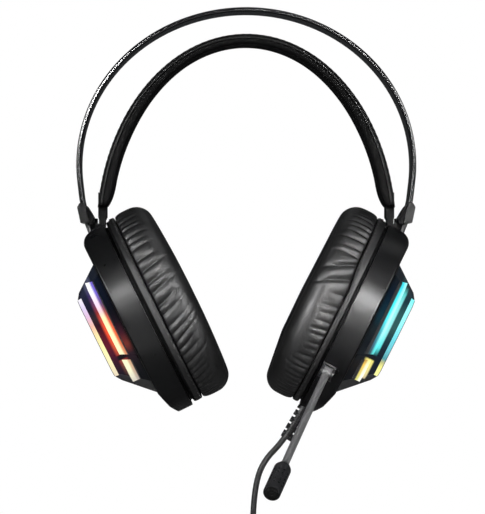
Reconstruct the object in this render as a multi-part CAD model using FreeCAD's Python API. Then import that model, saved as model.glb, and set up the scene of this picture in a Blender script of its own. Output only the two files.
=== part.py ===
import FreeCAD, Part
import math
import os

# Over-ear gaming headset: a slim spring headband with a self-adjusting padded strap under it, two
# tilting ear cups with faceted light covers, a swivelling microphone boom and a USB cable.
#
# Frame, millimetres: +Z up, -Y towards the wearer's front, +X towards the wearer's left (boom side).
# The origin is the middle of the underside of the headband's crown, where a hook or hanger holds it.

V = FreeCAD.Vector
os.makedirs("parts", exist_ok=True)

# ---- headband: one flat sprung band whose outline in XZ is half an ellipse
BEAM_THICK = 2.2
BEAM_DEPTH = 28.0
BEAM_EDGE_R = 0.8
BEAM_HALF_SPAN = 83.5       # middle of the band, at its widest
BEAM_RISE = 77.2            # middle of the band, from the widest place up to the crown
BEAM_TURN_Z = -84.4         # below this the band runs straight
BEAM_KNEE_Z = -93.9
BEAM_END = (80.8, -98.6)
WIRE_R = 1.1
WIRE_SPREAD = 8.5           # each yoke's two spring wires stand this far before and behind the middle
WIRE_TOP = (80.4, -102.6)
WIRE_KNEE = (79.3, -105.8)
WIRE_END = (76.4, -113.2)

# ---- strap: padded leatherette hanging between the two yokes
STRAP_DEPTH = 38.0
STRAP_TOP_Z = -11.4
STRAP_OUT = (74.4, 98.8)    # half span and height of the ellipse of its upper face
STRAP_IN = (67.4, 92.7)     # the same for its lower, padded face
STRAP_THICK = 5.0
STRAP_BAND = 1.7            # the thin upper layer
CUSHION_END_Z = -97.5
CUSHION_TURN_R = 5.0        # rounding of the padded face's lower ends
STEM_IN, STEM_OUT = 70.35, 73.4         # flat moulded end that runs down into the yoke
STEM_THICK_IN, STEM_THICK_OUT = 69.6, 73.8      # and its thicker part above the yoke
STEM_HALF_DEPTH = 9.5
STEM_TOP_Z, STEM_STEP_Z, STEM_FOOT_Z = -90.0, -102.2, -113.6
ELASTIC_THICK, ELASTIC_HALF_DEPTH = 0.8, 5.0
ELASTIC_FOOT_Z, ELASTIC_TOP_Z = -113.4, -105.4

# ---- collar and yoke under each end of the band
COLLAR = [(80.6, -94.8), (83.0, -95.4), (84.1, -97.4), (82.4, -105.4), (78.4, -105.0)]
COLLAR_HALF_Y = BEAM_DEPTH / 2 + 1.4
COLLAR_EDGE_R = 0.7
BRACE = [(80.9, -95.6), (78.4, -105.0), (78.2, -106.0), (76.0, -105.6), (75.6, -103.0),
         (77.3, -100.0), (79.2, -97.0)]
BRACE_HALF_Y = 11.0
BRIDGE = [(74.4, -102.9), (76.8, -102.9), (78.4, -105.2), (77.8, -112.0), (74.4, -112.0)]
BRIDGE_HALF_Y = 6.2
RAIL = [(69.8, -107.4), (74.6, -106.4), (74.6, -115.6), (68.6, -115.6), (68.2, -110.6)]
LIP = [(69.3, -110.6), (69.3, -115.4), (68.2, -115.4), (68.0, -111.4)]
LIP_REACH = 1.6             # how far each lip comes in behind the strap's flat end
GLIDE = 0.3                 # side clearance of the flat end in its channel
YOKE_HALF_Y = 12.6
EYE_R = 3.2

# ---- ear cup: local frame x outwards, y back, z up along the cup, seated at CUP_AT and leaning by LEAN
CUP_AT = V(49.5, 0.0, -150.05)
LEAN = 26.35
HALF_Y, HALF_V = 43.0, 51.3
ROUNDNESS = 2.35            # exponent of the oval: 2 is an ellipse, more is squarer
HOUSE_DEEP = 12.4
HOUSE_EDGE_R = 1.0
HOUSE_TOP = 48.6            # the housing is flat on top, under the yoke
HOUSE_CHIN = [(12.4, -38.0), (10.2, -46.6), (7.6, -51.2)]    # slope under the cover, as (w, v)
BOSS_LIFT = 0.8             # the top of the housing stands proud of the rest
BOSS_LOW, BOSS_HALF_Y = 30.5, 16.6
BOSS_ROUND = 6.4
WALL = 2.2
SLOT_HALF_Y = 13.4          # opening in the top of the housing for the yoke
PIVOT_W, PIVOT_V = 5.5, 39.0
PIN_R = 1.5
RUN = 0.06                  # radial running clearance
CHEEK_HALF_Y = 17.0         # the pin is held in a cheek on each side of the opening
SLOT_V = 41.5
SLOT_W = 11.3
POST_R = 3.2
SCREW_R = 0.98
POSTS = [(27.0, 28.0), (27.0, -28.0), (-27.0, 28.0), (-27.0, -28.0)]
LED_HALF_Y, LED_HALF_V, LED_PITCH, LED_HALF = 14.0, 22.0, 7.0, 1.6
LED_POSTS = [(-11, 18), (11, 18), (-11, -18), (11, -18)]

# ---- speaker behind a slotted plate
DRIVER_R = 26.2
SEAT_R, SEAT_WALL = 28.0, 1.6
SOUND_SLOTS, SOUND_PITCH, SOUND_HALF, SOUND_LONG = 7, 6.6, 2.1, 22.0
CLOTH_HALF = (27.0, 34.0)
NOTCH_HALF_Y, NOTCH_V = 14.2, 36.0      # room for the yoke and the strap's end

# ---- light cover: outlines at three heights, each (top, tip, shoulder, shoulder half, middle half,
#      lower shoulder, bottom), then the height
COVER_FOOT = (34.0, 14.0, 28.0, 29.5, 36.5, -31.0, -38.0)
COVER_RIM = (24.0, 9.0, 20.0, 16.5, 19.0, -20.5, -24.5)
COVER_FACE = (20.5, 7.5, 17.5, 12.5, 14.5, -18.0, -21.0)
COVER_W = (12.4, 26.0, 28.5)
COVER_WALL = 2.0
# bars: low and high above the cup's seat, the two ends along it at the high side, and how much
# each end drops towards the low side
LONG_BAR = (16.4, 21.0, -12.3, 27.0, 2.0, 1.2)
SHORT_BAR = (16.4, 21.2, -27.6, -15.2, 0.0, 2.0)
FACE_BAR = (26.0, 28.2, -21.4, 21.0, 0.0, 0.0)
RIB = (13.4, 24.5, -13.2, -11.6, 4.6, 4.6)      # low ridge across the slanted side, between the bars
RIB_LIFT = 0.45

# ---- cushion
GROOVE, GROOVE_DEEP = 1.5, 2.6
SKIRT_END, SKIRT_THICK = 6.2, 1.4
SKIRT_NOTCH = (-3.4, 10.1)  # the skirt is cut out under the strap's end: how deep, and half as wide
RING_HALF, RING_WIDE = (40.5, 48.2), 6.0
PAD_FACE = 24.4
PAD_FACE_R, PAD_BACK_R = 9.0, 2.4
PAD_HALF = (43.3, 51.3)
EAR_HALF = (22.0, 29.0)

# ---- controls, in the back edge of the +X cup
WHEEL_R, WHEEL_V, WHEEL_W = 7.5, -19.0, 6.0
WHEEL_THICK, WHEEL_TEETH = 3.0, 30
BUTTON_V, BUTTON_W, BUTTON_R = 2.0, 6.0, 2.4

# ---- microphone arm, on the +X cup
MIC_W, MIC_Y, MIC_V = 3.4, -41.2, -30.5
MIC_HALF_W = 3.4
MIC_PIN_R, KNUCKLE_R = 1.0, 3.1
BOOM_R = 1.85
BOOM_ANGLES = (54.0, 58.0, 62.0)          # from straight down towards the front
BOOM_STEP = 30.5
BOOM_SIDE = -0.018          # it also drifts this much towards the cushion, per length
CAPSULE_R, CAPSULE_LONG = 4.15, 25.0

# ---- cable: diameter, route of its hanging stretch and the coil of what is put away
CABLE_R = 1.5
ROUTE = [V(31.7, 0, -193.9), V(19.6, 0, -213.4), V(8.4, 0, -224.5), V(4.2, 0, -238.0),
         V(3.0, 0, -262.0), V(4.6, 0, -290.0)]
RELIEF_LONG = 22.5
RELIEF_FLANGE, RELIEF_NECK = 3.3, 2.6
RELIEF_RIBS, RELIEF_PITCH = 8, 1.95
COIL_MID_R, COIL_TUBE_R = 17.0, 7.2
COIL_AT = V(4.6 - COIL_MID_R, 0, -311.0)
TAIL_LONG = 12.0
PLUG_GRIP = (15.5, 8.4, 23.0)
PLUG_SHELL = (12.0, 4.5, 12.5)
PLUG_WALL = 0.3


# ------------------------------------------------------------------ helpers
def box(x0, x1, y0, y1, z0, z1):
    return Part.makeBox(x1 - x0, y1 - y0, z1 - z0, V(x0, y0, z0))


def rod(start, direction, radius, length):
    return Part.makeCylinder(radius, length, start, direction)


def prism_y(points, half):
    """Polygon of (x, z) points, drawn out from -half to +half along Y."""
    ring = [V(x, -half, z) for x, z in points]
    face = Part.Face(Part.makePolygon(ring + ring[:1]))
    return face.extrude(V(0, 2 * half, 0))


def oval(half_y, half_v, w):
    """Closed oval wire in the plane x = w."""
    points = []
    steps = 32
    for i in range(steps):
        a = 2 * math.pi * i / steps
        c, s = math.cos(a), math.sin(a)
        y = half_y * math.copysign(abs(c) ** (2 / ROUNDNESS), c)
        v = half_v * math.copysign(abs(s) ** (2 / ROUNDNESS), s)
        points.append(V(w, y, v))
    curve = Part.BSplineCurve()
    curve.interpolate(Points=points, PeriodicFlag=True)
    return Part.Wire(curve.toShape())


def slab(half_y, half_v, w0, w1):
    """Oval plate between two planes of the cup's frame."""
    return Part.Face(oval(half_y, half_v, w0)).extrude(V(w1 - w0, 0, 0))


def round_rim(solid, w, radius):
    rim = [e for e in solid.Edges if abs(e.BoundBox.XMin - w) < 0.01 and abs(e.BoundBox.XMax - w) < 0.01]
    return solid.makeFillet(radius, rim)


def turned(profile):
    """Revolve (radius, height) points about the X axis."""
    ring = [V(h, r, 0) for r, h in profile]
    face = Part.Face(Part.makePolygon(ring + ring[:1]))
    return face.revolve(V(0, 0, 0), V(1, 0, 0), 360)


def rounded_edges(points):
    """Straight runs joined by tangent arcs; returns the edges and the arc radii."""
    edges = []
    radii = []
    here = points[0]
    for i in range(1, len(points) - 1):
        before = (points[i] - points[i - 1])
        after = (points[i + 1] - points[i])
        turn = before.getAngle(after)
        reach = 0.45 * min(before.Length, after.Length)
        radii.append(reach / math.tan(turn / 2))
        before.normalize()
        after.normalize()
        start = points[i] - before * reach
        stop = points[i] + after * reach
        bisector = after - before
        bisector.normalize()
        centre = points[i] + bisector * (radii[-1] / math.cos(turn / 2))
        middle = centre - bisector * radii[-1]
        edges.append(Part.LineSegment(here, start).toShape())
        edges.append(Part.Arc(start, middle, stop).toShape())
        here = stop
    edges.append(Part.LineSegment(here, points[-1]).toShape())
    return edges, radii


def tube(edges, radius, start, direction):
    ring = Part.Wire(Part.makeCircle(radius, start, direction))
    return Part.Wire(edges).makePipeShell([ring], True, True)


def to_cup(shape):
    """From a cup's own frame to the +X side of the headset."""
    out = shape.copy()
    out.rotate(V(0, 0, 0), V(0, 1, 0), LEAN)
    out.translate(CUP_AT)
    return out


def other_side(shape):
    return shape.mirror(V(0, 0, 0), V(1, 0, 0))


def one(shape):
    """Clean solid, or a compound when the piece is several equal ones."""
    shape = shape.removeSplitter()
    return shape.Solids[0] if len(shape.Solids) == 1 else Part.makeCompound(shape.Solids)


def save(name, shape):
    shape = one(shape)
    box_ = shape.BoundBox
    print("%-26s %2d solid  %9.1f mm3  x %.1f..%.1f y %.1f..%.1f z %.1f..%.1f %s" % (
        name, len(shape.Solids), shape.Volume, box_.XMin, box_.XMax, box_.YMin, box_.YMax,
        box_.ZMin, box_.ZMax, "" if shape.isValid() else "NOT VALID"))
    shape.exportStep("parts/%s.step" % name)


def save_pair(name, shape):
    """The +X piece and its mirror image; +X is the wearer's left."""
    save("left_" + name, shape)
    save("right_" + name, other_side(shape))


# ------------------------------------------------------------------ headband
def ellipse_x(half, rise, z_mid, z):
    return half * math.sqrt(1 - ((z - z_mid) / rise) ** 2)


BEAM_MID_Z = BEAM_THICK / 2 - BEAM_RISE
BEAM_TURN = (ellipse_x(BEAM_HALF_SPAN, BEAM_RISE, BEAM_MID_Z, BEAM_TURN_Z), BEAM_TURN_Z)


def beam_knee():
    """Straight on from where the ellipse stops, down to the knee."""
    x, z = BEAM_TURN
    slope = -(BEAM_HALF_SPAN / BEAM_RISE) ** 2 * (z - BEAM_MID_Z) / x
    return x + slope * (BEAM_KNEE_Z - z), BEAM_KNEE_Z


def band_path(y, ends):
    """Left end, over the crown, to the right end; ends are the (x, z) points below the knee."""
    ellipse = Part.Ellipse(V(0, y, BEAM_MID_Z), BEAM_HALF_SPAN, BEAM_RISE)
    start = math.asin((BEAM_TURN_Z - BEAM_MID_Z) / BEAM_RISE)
    curve = Part.ArcOfEllipse(ellipse, start, math.pi - start).toShape()
    curve.rotate(V(0, y, BEAM_MID_Z), V(1, 0, 0), 90)
    legs = [V(x, y, z) for x, z in (BEAM_TURN, beam_knee()) + ends]
    edges, radii = rounded_edges(legs)
    mirrored = [e.mirror(V(0, 0, 0), V(1, 0, 0)) for e in edges]
    return Part.Wire(Part.__sortEdges__([curve] + edges + mirrored)), radii


def flat_bar(depth, thick, radius, centre, across):
    """Section of a flat bar with rounded corners, depth along Y."""
    corners = []
    for sy, sx in ((-1, 1), (1, 1), (1, -1), (-1, -1)):
        corners.append(centre + V(0, sy * depth / 2, 0) + across * (sx * thick / 2))
    edges = []
    for i, corner in enumerate(corners):
        before = corners[i - 1] - corner
        after = corners[(i + 1) % 4] - corner
        leaving = corners[(i + 1) % 4] - after * (radius / after.Length)
        before.normalize()
        after.normalize()
        start, stop = corner + before * radius, corner + after * radius
        middle = corner + (before + after) * (radius * (1 - math.sqrt(0.5)))
        edges.append(Part.Arc(start, middle, stop).toShape())
        edges.append(Part.LineSegment(stop, leaving).toShape())
    return Part.Wire(edges)


def sweep_band(wire, section):
    return wire.makePipeShell([section], True, False)


def end_frame(points):
    """Start point, run direction and in-plane normal at the -X end of a mirrored path."""
    low, above = points[-1], points[-2]
    start = V(-low[0], 0, low[1])
    run = V(-above[0], 0, above[1]) - start
    run.normalize()
    return start, run, V(run.z, 0, -run.x)


def head_beam():
    path, _ = band_path(0, (BEAM_END,))
    start, _, across = end_frame([beam_knee(), BEAM_END])
    return sweep_band(path, flat_bar(BEAM_DEPTH, BEAM_THICK, BEAM_EDGE_R, start, across))


def yoke_wires():
    """The +X yoke's two short spring wires, from the collar down to the yoke's foot."""
    wires = []
    for y in (-WIRE_SPREAD, WIRE_SPREAD):
        points = [V(x, y, z) for x, z in (WIRE_TOP, WIRE_KNEE, WIRE_END)]
        edges, _ = rounded_edges(points)
        wires.append(tube(edges, WIRE_R, points[0], points[1] - points[0]))
    return wires


# ------------------------------------------------------------------ yoke and tilt pin (+X side)
def pivot():
    a = math.radians(LEAN)
    return CUP_AT + V(PIVOT_W * math.cos(a) + PIVOT_V * math.sin(a), 0,
                      PIVOT_V * math.cos(a) - PIVOT_W * math.sin(a))


def collar(band, wires):
    """Clip round the end of the band, from which the wires go on."""
    block = prism_y(COLLAR, COLLAR_HALF_Y)
    outer = [e for e in block.Edges if e.BoundBox.YLength > BEAM_DEPTH and e.BoundBox.XMin > 82.0]
    return block.makeFillet(COLLAR_EDGE_R, outer).cut([band] + wires)


def yoke(band, wires, clip):
    """Brace under the collar, guide channel for the strap's end and the eye of the cup's pivot."""
    p = pivot()
    foot = prism_y([(74.4, -111.2), (77.9, -111.2), (75.6, -118.8), (p.x, p.z - EYE_R),
                    (p.x - 1, p.z - EYE_R + 0.2), (p.x, -114.4), (74.4, -114.4)], YOKE_HALF_Y)
    eye = rod(V(p.x, -YOKE_HALF_Y, p.z), V(0, 1, 0), EYE_R, 2 * YOKE_HALF_Y)
    out = prism_y(BRACE, BRACE_HALF_Y).fuse([prism_y(BRIDGE, BRIDGE_HALF_Y), foot, eye])
    for side in (-1, 1):
        for outline, start in ((RAIL, STEM_HALF_DEPTH + GLIDE), (LIP, STEM_HALF_DEPTH - LIP_REACH)):
            y0, y1 = sorted((side * start, side * YOKE_HALF_Y))
            out = out.fuse(prism_y(outline, YOKE_HALF_Y).common(box(60, 90, y0, y1, -130, -90)))
    out = out.cut([band, clip] + wires)
    return out.cut(rod(V(p.x, -20, p.z), V(0, 1, 0), PIN_R + RUN, 40))


def tilt_pin():
    p = pivot()
    return rod(V(p.x, -CHEEK_HALF_Y, p.z), V(0, 1, 0), PIN_R, 2 * CHEEK_HALF_Y)


# ------------------------------------------------------------------ strap
def arc_edge(half, top_z, height, z_end, y):
    """Curve over the head along an ellipse, from one side at z_end to the other."""
    mid = top_z - height
    steps = 28
    t0 = math.asin((z_end - mid) / height)
    points = []
    for i in range(steps + 1):
        t = t0 + (math.pi - 2 * t0) * i / steps
        points.append(V(half * math.cos(t), y, mid + height * math.sin(t)))
    curve = Part.BSplineCurve()
    curve.interpolate(points)
    return curve.toShape(), points[0], points[-1]


def layer(upper, lower, z_end):
    """Solid between two arches, each (half span, top, height), as deep as the strap."""
    y = -STRAP_DEPTH / 2
    top, top_a, top_b = arc_edge(upper[0], upper[1], upper[2], z_end, y)
    low, low_a, low_b = arc_edge(lower[0], lower[1], lower[2], z_end, y)
    ends = [Part.LineSegment(top_a, low_a).toShape(), Part.LineSegment(top_b, low_b).toShape()]
    face = Part.Face(Part.Wire(Part.__sortEdges__([top, low] + ends)))
    return face.extrude(V(0, STRAP_DEPTH, 0))


def strap_layers():
    upper = (STRAP_OUT[0], STRAP_TOP_Z, STRAP_OUT[1])
    seam = (STRAP_OUT[0] - STRAP_BAND, STRAP_TOP_Z - STRAP_BAND, STRAP_OUT[1] - STRAP_BAND)
    lower = (STRAP_IN[0], STRAP_TOP_Z - STRAP_THICK, STRAP_IN[1])
    band = layer(upper, seam, CUSHION_END_Z)
    pad = layer(seam, lower, CUSHION_END_Z)
    corners = [e for e in pad.Edges if e.BoundBox.YLength > STRAP_DEPTH - 0.1
               and abs(e.BoundBox.XMax) < STRAP_IN[0] + 1 and e.BoundBox.ZMax < CUSHION_END_Z + 0.1
               and abs(e.BoundBox.XMin) < STRAP_IN[0] + 1]
    return band, pad.makeFillet(CUSHION_TURN_R, corners)


def strap_end():
    """Flat moulded end: it is sewn between the strap's layers and runs down into the yoke's channel."""
    outline = [(STEM_THICK_IN, STEM_TOP_Z), (STEM_THICK_OUT, STEM_TOP_Z), (STEM_THICK_OUT, STEM_STEP_Z),
               (STEM_OUT, STEM_STEP_Z - 1.5), (STEM_OUT, STEM_FOOT_Z), (STEM_IN, STEM_FOOT_Z),
               (STEM_IN, STEM_STEP_Z - 1.5), (STEM_THICK_IN, STEM_STEP_Z)]
    return prism_y(outline, STEM_HALF_DEPTH)


def strap_elastic():
    """Elastic tape that pulls the strap down: sewn to the yoke at its foot, to the strap end on top."""
    near, half = STEM_OUT + 0.1, ELASTIC_HALF_DEPTH
    return box(near, near + ELASTIC_THICK, -half, half, ELASTIC_FOOT_Z, ELASTIC_TOP_Z)


# ------------------------------------------------------------------ ear cup
def cover_wire(outline, w, shrink=0.0):
    top, tip, shoulder, half_shoulder, half_mid, low_shoulder, bottom = outline
    s = shrink
    right = [(top - s, tip), (shoulder - s * 0.6, half_shoulder - s), (0, half_mid - s),
             (low_shoulder + s * 0.6, half_shoulder - s), (bottom + s, tip)]
    ring = [V(w, y, v) for v, y in right] + [V(w, -y, v) for v, y in reversed(right)]
    return Part.makePolygon(ring + ring[:1])


def cover_block(shrink, drop, foot=0.0):
    """The faceted dome, or a smaller one inside it."""
    heights = (COVER_W[0] - foot, COVER_W[1] - drop, COVER_W[2] - drop)
    outlines = (COVER_FOOT, COVER_RIM, COVER_FACE)
    wires = [cover_wire(outline, w, shrink) for outline, w in zip(outlines, heights)]
    return Part.makeLoft(wires, True, True)


def bar_block(bar, side, gap=0.0):
    """What a bar takes up of the slanted side; side is -1 in front and 1 behind."""
    low, high, v0, v1, drop0, drop1 = bar
    ring = [V(low + gap, side * 3.0, v0 + gap - drop0), V(high - gap, side * 3.0, v0 + gap),
            V(high - gap, side * 3.0, v1 - gap), V(low + gap, side * 3.0, v1 - gap - drop1)]
    return Part.Face(Part.makePolygon(ring + ring[:1])).extrude(V(0, side * 42.0, 0))


def chin(inset):
    """What is cut away below the cover, where the housing gets thinner."""
    ring = [V(w - inset, -60, v + inset) for w, v in HOUSE_CHIN]
    first, second, last = ring
    ring = [first + (first - second) * 2] + ring + [last + (last - second) * 2, V(30, -60, -80)]
    return Part.Face(Part.makePolygon(ring + ring[:1])).extrude(V(0, 120, 0))


def top_corner(w):
    """What a rounding takes off along the upper outer edge, where the housing is w deep."""
    r = BOSS_ROUND
    square = box(w - r, w + 8, -50, 50, HOUSE_TOP - r, HOUSE_TOP + 8)
    return square.cut(rod(V(w - r, -50, HOUSE_TOP - r), V(0, 1, 0), r, 100))


def boss():
    """Raised top of the housing, around the yoke's opening, with a rounded upper edge."""
    high = HOUSE_DEEP + BOSS_LIFT
    block = box(HOUSE_DEEP - 8.0, high, -BOSS_HALF_Y, BOSS_HALF_Y, BOSS_LOW, HOUSE_TOP)
    crest = [e for e in block.Edges if e.BoundBox.YLength > 2 * BOSS_HALF_Y - 0.1
             and e.BoundBox.XMin > high - 0.1 and e.BoundBox.ZMin > HOUSE_TOP - 0.1]
    block = block.makeFillet(BOSS_ROUND, crest)
    sides = [e for e in block.Edges if abs(e.BoundBox.YMax - e.BoundBox.YMin) < 0.01
             and e.BoundBox.XMin > high - 0.1 and e.BoundBox.ZLength > 5]
    return block.makeFillet(0.7, sides).cut(cover_block(-0.1, -0.1))


def housing_blank():
    body = slab(HALF_Y, HALF_V, 0, HOUSE_DEEP)
    body = body.cut(chin(0.0)).cut(box(-1, 20, -50, 50, HOUSE_TOP, 60))
    rim = [e for e in body.Edges if abs(e.BoundBox.XMin - HOUSE_DEEP) < 0.01]
    body = body.makeFillet(HOUSE_EDGE_R, rim).cut(top_corner(HOUSE_DEEP)).fuse(boss())
    hollow = slab(HALF_Y - WALL, HALF_V - WALL, -1, HOUSE_DEEP - WALL)
    hollow = hollow.cut(chin(WALL)).cut(box(-2, 20, -50, 50, HOUSE_TOP - WALL, 60))
    shell = body.cut(hollow)
    floor = HOUSE_DEEP - WALL
    for side in (-1, 1):
        y0, y1 = sorted((side * SLOT_HALF_Y, side * CHEEK_HALF_Y))
        cheek = box(PIVOT_W - 3.2, floor + 0.5, y0, y1, PIVOT_V - 4.5, PIVOT_V + 4.0)
        shell = shell.fuse(cheek)
    for y, v in POSTS:
        shell = shell.fuse(rod(V(1.7, y, v), V(1, 0, 0), POST_R, floor - 1.2))
        shell = shell.cut(rod(V(1.6, y, v), V(1, 0, 0), SCREW_R + 0.02, 7.0))
    for y, v in LED_POSTS:
        shell = shell.fuse(rod(V(HOUSE_DEEP - 0.5, y, v), V(1, 0, 0), 2.0, 1.7))
    shell = shell.cut(box(-1, SLOT_W, -SLOT_HALF_Y, SLOT_HALF_Y, SLOT_V, 60))
    shell = shell.cut(rod(V(PIVOT_W, -20, PIVOT_V), V(0, 1, 0), PIN_R, 40))
    return shell.cut(rod(V(5, 0, -22), V(1, 0, 0), 3.0, 12))


def outer_cover():
    shell = cover_block(0, 0).cut(cover_block(COVER_WALL * 1.25, COVER_WALL, 0.5))
    proud = cover_block(-RIB_LIFT, -RIB_LIFT).cut(cover_block(0.5, 0.5, 0.5))
    for side in (-1, 1):
        shell = shell.fuse(proud.common(bar_block(RIB, side)))
        for bar in (LONG_BAR, SHORT_BAR, FACE_BAR):
            shell = shell.cut(bar_block(bar, side))
    return shell


def light_guide(side):
    """Diffuser: a skin behind the cover's slanted side, with bars that fill its slots."""
    skin = cover_block(COVER_WALL * 1.25 + 0.25, COVER_WALL + 0.25, 0.5).cut(
        cover_block(COVER_WALL * 1.25 + 1.8, COVER_WALL + 1.6, 0.5))
    y0, y1 = sorted((side * 8.0, side * 45.0))
    skin = skin.common(box(15.6, 40, y0, y1, -29.0, 28.0))
    solid = cover_block(0, 0).cut(cover_block(COVER_WALL * 1.25 + 1.8, COVER_WALL + 1.6, 0.5))
    for bar in (LONG_BAR, SHORT_BAR, FACE_BAR):
        skin = skin.fuse(solid.common(bar_block(bar, side, 0.08)))
    return skin


def led_board():
    low = HOUSE_DEEP + 1.2
    board = box(low, low + 1.2, -LED_HALF_Y, LED_HALF_Y, -LED_HALF_V, LED_HALF_V)
    for y, v in LED_POSTS:
        board = board.cut(rod(V(low - 1, y, v), V(1, 0, 0), 0.9, 4))
    for side in (-1, 1):
        for i in range(6):
            lamp = box(low + 1.2, low + 2.4, -LED_HALF, LED_HALF, -LED_HALF, LED_HALF)
            board = board.fuse(lamp.translated(V(0, side * LED_HALF_Y / 2, (i - 2.5) * LED_PITCH)))
    return board


def driver_baffle():
    plate = slab(HALF_Y - GROOVE_DEEP, HALF_V - GROOVE_DEEP, -GROOVE, 0)
    plug = slab(HALF_Y - WALL - 0.2, HALF_V - WALL - 0.2, 0, 1.6)
    plug = plug.cut(box(-1, 3, -50, 50, SLOT_V + 0.5, 60))
    seat = rod(V(1.6, 0, 0), V(1, 0, 0), SEAT_R, 2.4)
    well = rod(V(1.6, 0, 0), V(1, 0, 0), SEAT_R - SEAT_WALL, 4)
    notch = box(-3, 5, -NOTCH_HALF_Y, NOTCH_HALF_Y, NOTCH_V, 60)
    out = plate.fuse([plug, seat]).cut([well, notch])
    for i in range(SOUND_SLOTS):
        y = (i - (SOUND_SLOTS - 1) / 2) * SOUND_PITCH
        span = SOUND_LONG * math.sqrt(1 - (y / (SOUND_LONG + 1)) ** 2)
        out = out.cut(box(-3, 3, y - SOUND_HALF, y + SOUND_HALF, -span, span))
    for y, v in POSTS:
        out = out.cut([rod(V(-3, y, v), V(1, 0, 0), 1.2, 8), rod(V(-3, y, v), V(1, 0, 0), 2.4, 2.7)])
    return out


def baffle_screws():
    parts = []
    for y, v in POSTS:
        head = rod(V(-1.3, y, v), V(1, 0, 0), 2.2, 1.0)
        screw = head.fuse(rod(V(-0.4, y, v), V(1, 0, 0), SCREW_R, 7.4))
        parts.append(screw.cut(box(-2, -0.8, y - 1.5, y + 1.5, v - 0.3, v + 0.3)))
    return Part.makeCompound(parts)


def driver():
    return turned([(DRIVER_R, 1.7), (DRIVER_R, 3.2), (24.0, 3.4), (20.0, 6.4), (11.5, 6.6), (11.5, 9.7),
                   (0, 9.7), (0, 5.4), (18.0, 5.4), (23.2, 2.9), (23.2, 1.7)])


def diaphragm():
    return turned([(23.0, 1.8), (17.0, 2.6), (10.0, 2.0), (6.0, 3.0), (0, 3.4), (0, 3.8), (6.0, 3.4),
                   (10.0, 2.4), (17.0, 3.0), (23.0, 2.2)])


def speaker_cloth():
    return slab(CLOTH_HALF[0], CLOTH_HALF[1], -GROOVE - 0.8, -GROOVE)


def pad_ring():
    y, v = RING_HALF
    ring = slab(y, v, -5.0, -GROOVE)
    return ring.cut(slab(y - RING_WIDE, v - RING_WIDE, -6, 0))


def cushion_skirt():
    y, v = HALF_Y - 0.5, HALF_V - 1.0
    ring = slab(y, v, -SKIRT_END, -GROOVE - 0.05)
    inside = slab(y - SKIRT_THICK, v - SKIRT_THICK, -SKIRT_END - 1, 0)
    w, half = SKIRT_NOTCH
    return ring.cut([inside, box(w, 0, -half, half, 40, 60)])


def ear_cushion():
    body = slab(PAD_HALF[0], PAD_HALF[1], -PAD_FACE, -SKIRT_END)
    body = round_rim(body, -PAD_FACE, PAD_FACE_R)
    body = round_rim(body, -SKIRT_END, PAD_BACK_R)
    hole = slab(EAR_HALF[0], EAR_HALF[1], -PAD_FACE - 1, 0)
    return body.cut(hole)


# ------------------------------------------------------------------ controls and board on the boom side
def surface_y(v):
    return HALF_Y * (1 - (abs(v) / HALF_V) ** ROUNDNESS) ** (1 / ROUNDNESS)


WHEEL_Y = surface_y(WHEEL_V) + 1.4 - WHEEL_R


def volume_wheel():
    wheel = rod(V(WHEEL_W - WHEEL_THICK / 2, WHEEL_Y, WHEEL_V), V(1, 0, 0), WHEEL_R, WHEEL_THICK)
    for i in range(WHEEL_TEETH):
        a = 2 * math.pi * i / WHEEL_TEETH
        spoke = V(0, math.cos(a), math.sin(a)) * (WHEEL_R + 0.15)
        wheel = wheel.cut(rod(V(WHEEL_W - 2, WHEEL_Y, WHEEL_V) + spoke, V(1, 0, 0), 0.4, 4))
    return wheel.cut(rod(V(0, WHEEL_Y, WHEEL_V), V(1, 0, 0), 1.0 + RUN, 12))


def mute_button():
    y = surface_y(BUTTON_V)
    stem = rod(V(BUTTON_W, y - 4.6, BUTTON_V), V(0, 1, 0), BUTTON_R, 5.9)
    flange = rod(V(BUTTON_W, y - 5.6, BUTTON_V), V(0, 1, 0), BUTTON_R + 0.8, 1.2)
    return stem.fuse(flange)


def sound_board():
    board = box(5.2, 6.6, -16, 16, -42.5, -31.5)
    chips = [box(3.8, 5.2, -10, -3, -40, -34), box(4.1, 5.2, 3, 8, -40, -35)]
    return board.fuse(chips)


def left_housing():
    """Housing of the boom side, with its extra openings and seats."""
    floor = HOUSE_DEEP - WALL
    shell = housing_blank()
    y = surface_y(WHEEL_V)
    shell = shell.fuse(rod(V(WHEEL_W + 1.7, WHEEL_Y, WHEEL_V), V(1, 0, 0), 2.6, floor - WHEEL_W - 1.4))
    shell = shell.fuse(rod(V(WHEEL_W - 1.6, WHEEL_Y, WHEEL_V), V(1, 0, 0), 1.0, floor - WHEEL_W + 1.8))
    shell = shell.cut(box(WHEEL_W - 1.9, WHEEL_W + 1.9, y - 6, y + 5, WHEEL_V - 8.2, WHEEL_V + 8.2).cut(
        rod(V(0, WHEEL_Y, WHEEL_V), V(1, 0, 0), 1.0, 12)))
    shell = shell.cut(rod(V(BUTTON_W, 36, BUTTON_V), V(0, 1, 0), BUTTON_R + 0.08, 12))
    for sy in (-14, 14):
        shell = shell.fuse(rod(V(6.6, sy, -36.5), V(1, 0, 0), 1.8, floor - 6.2))
    return shell


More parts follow.
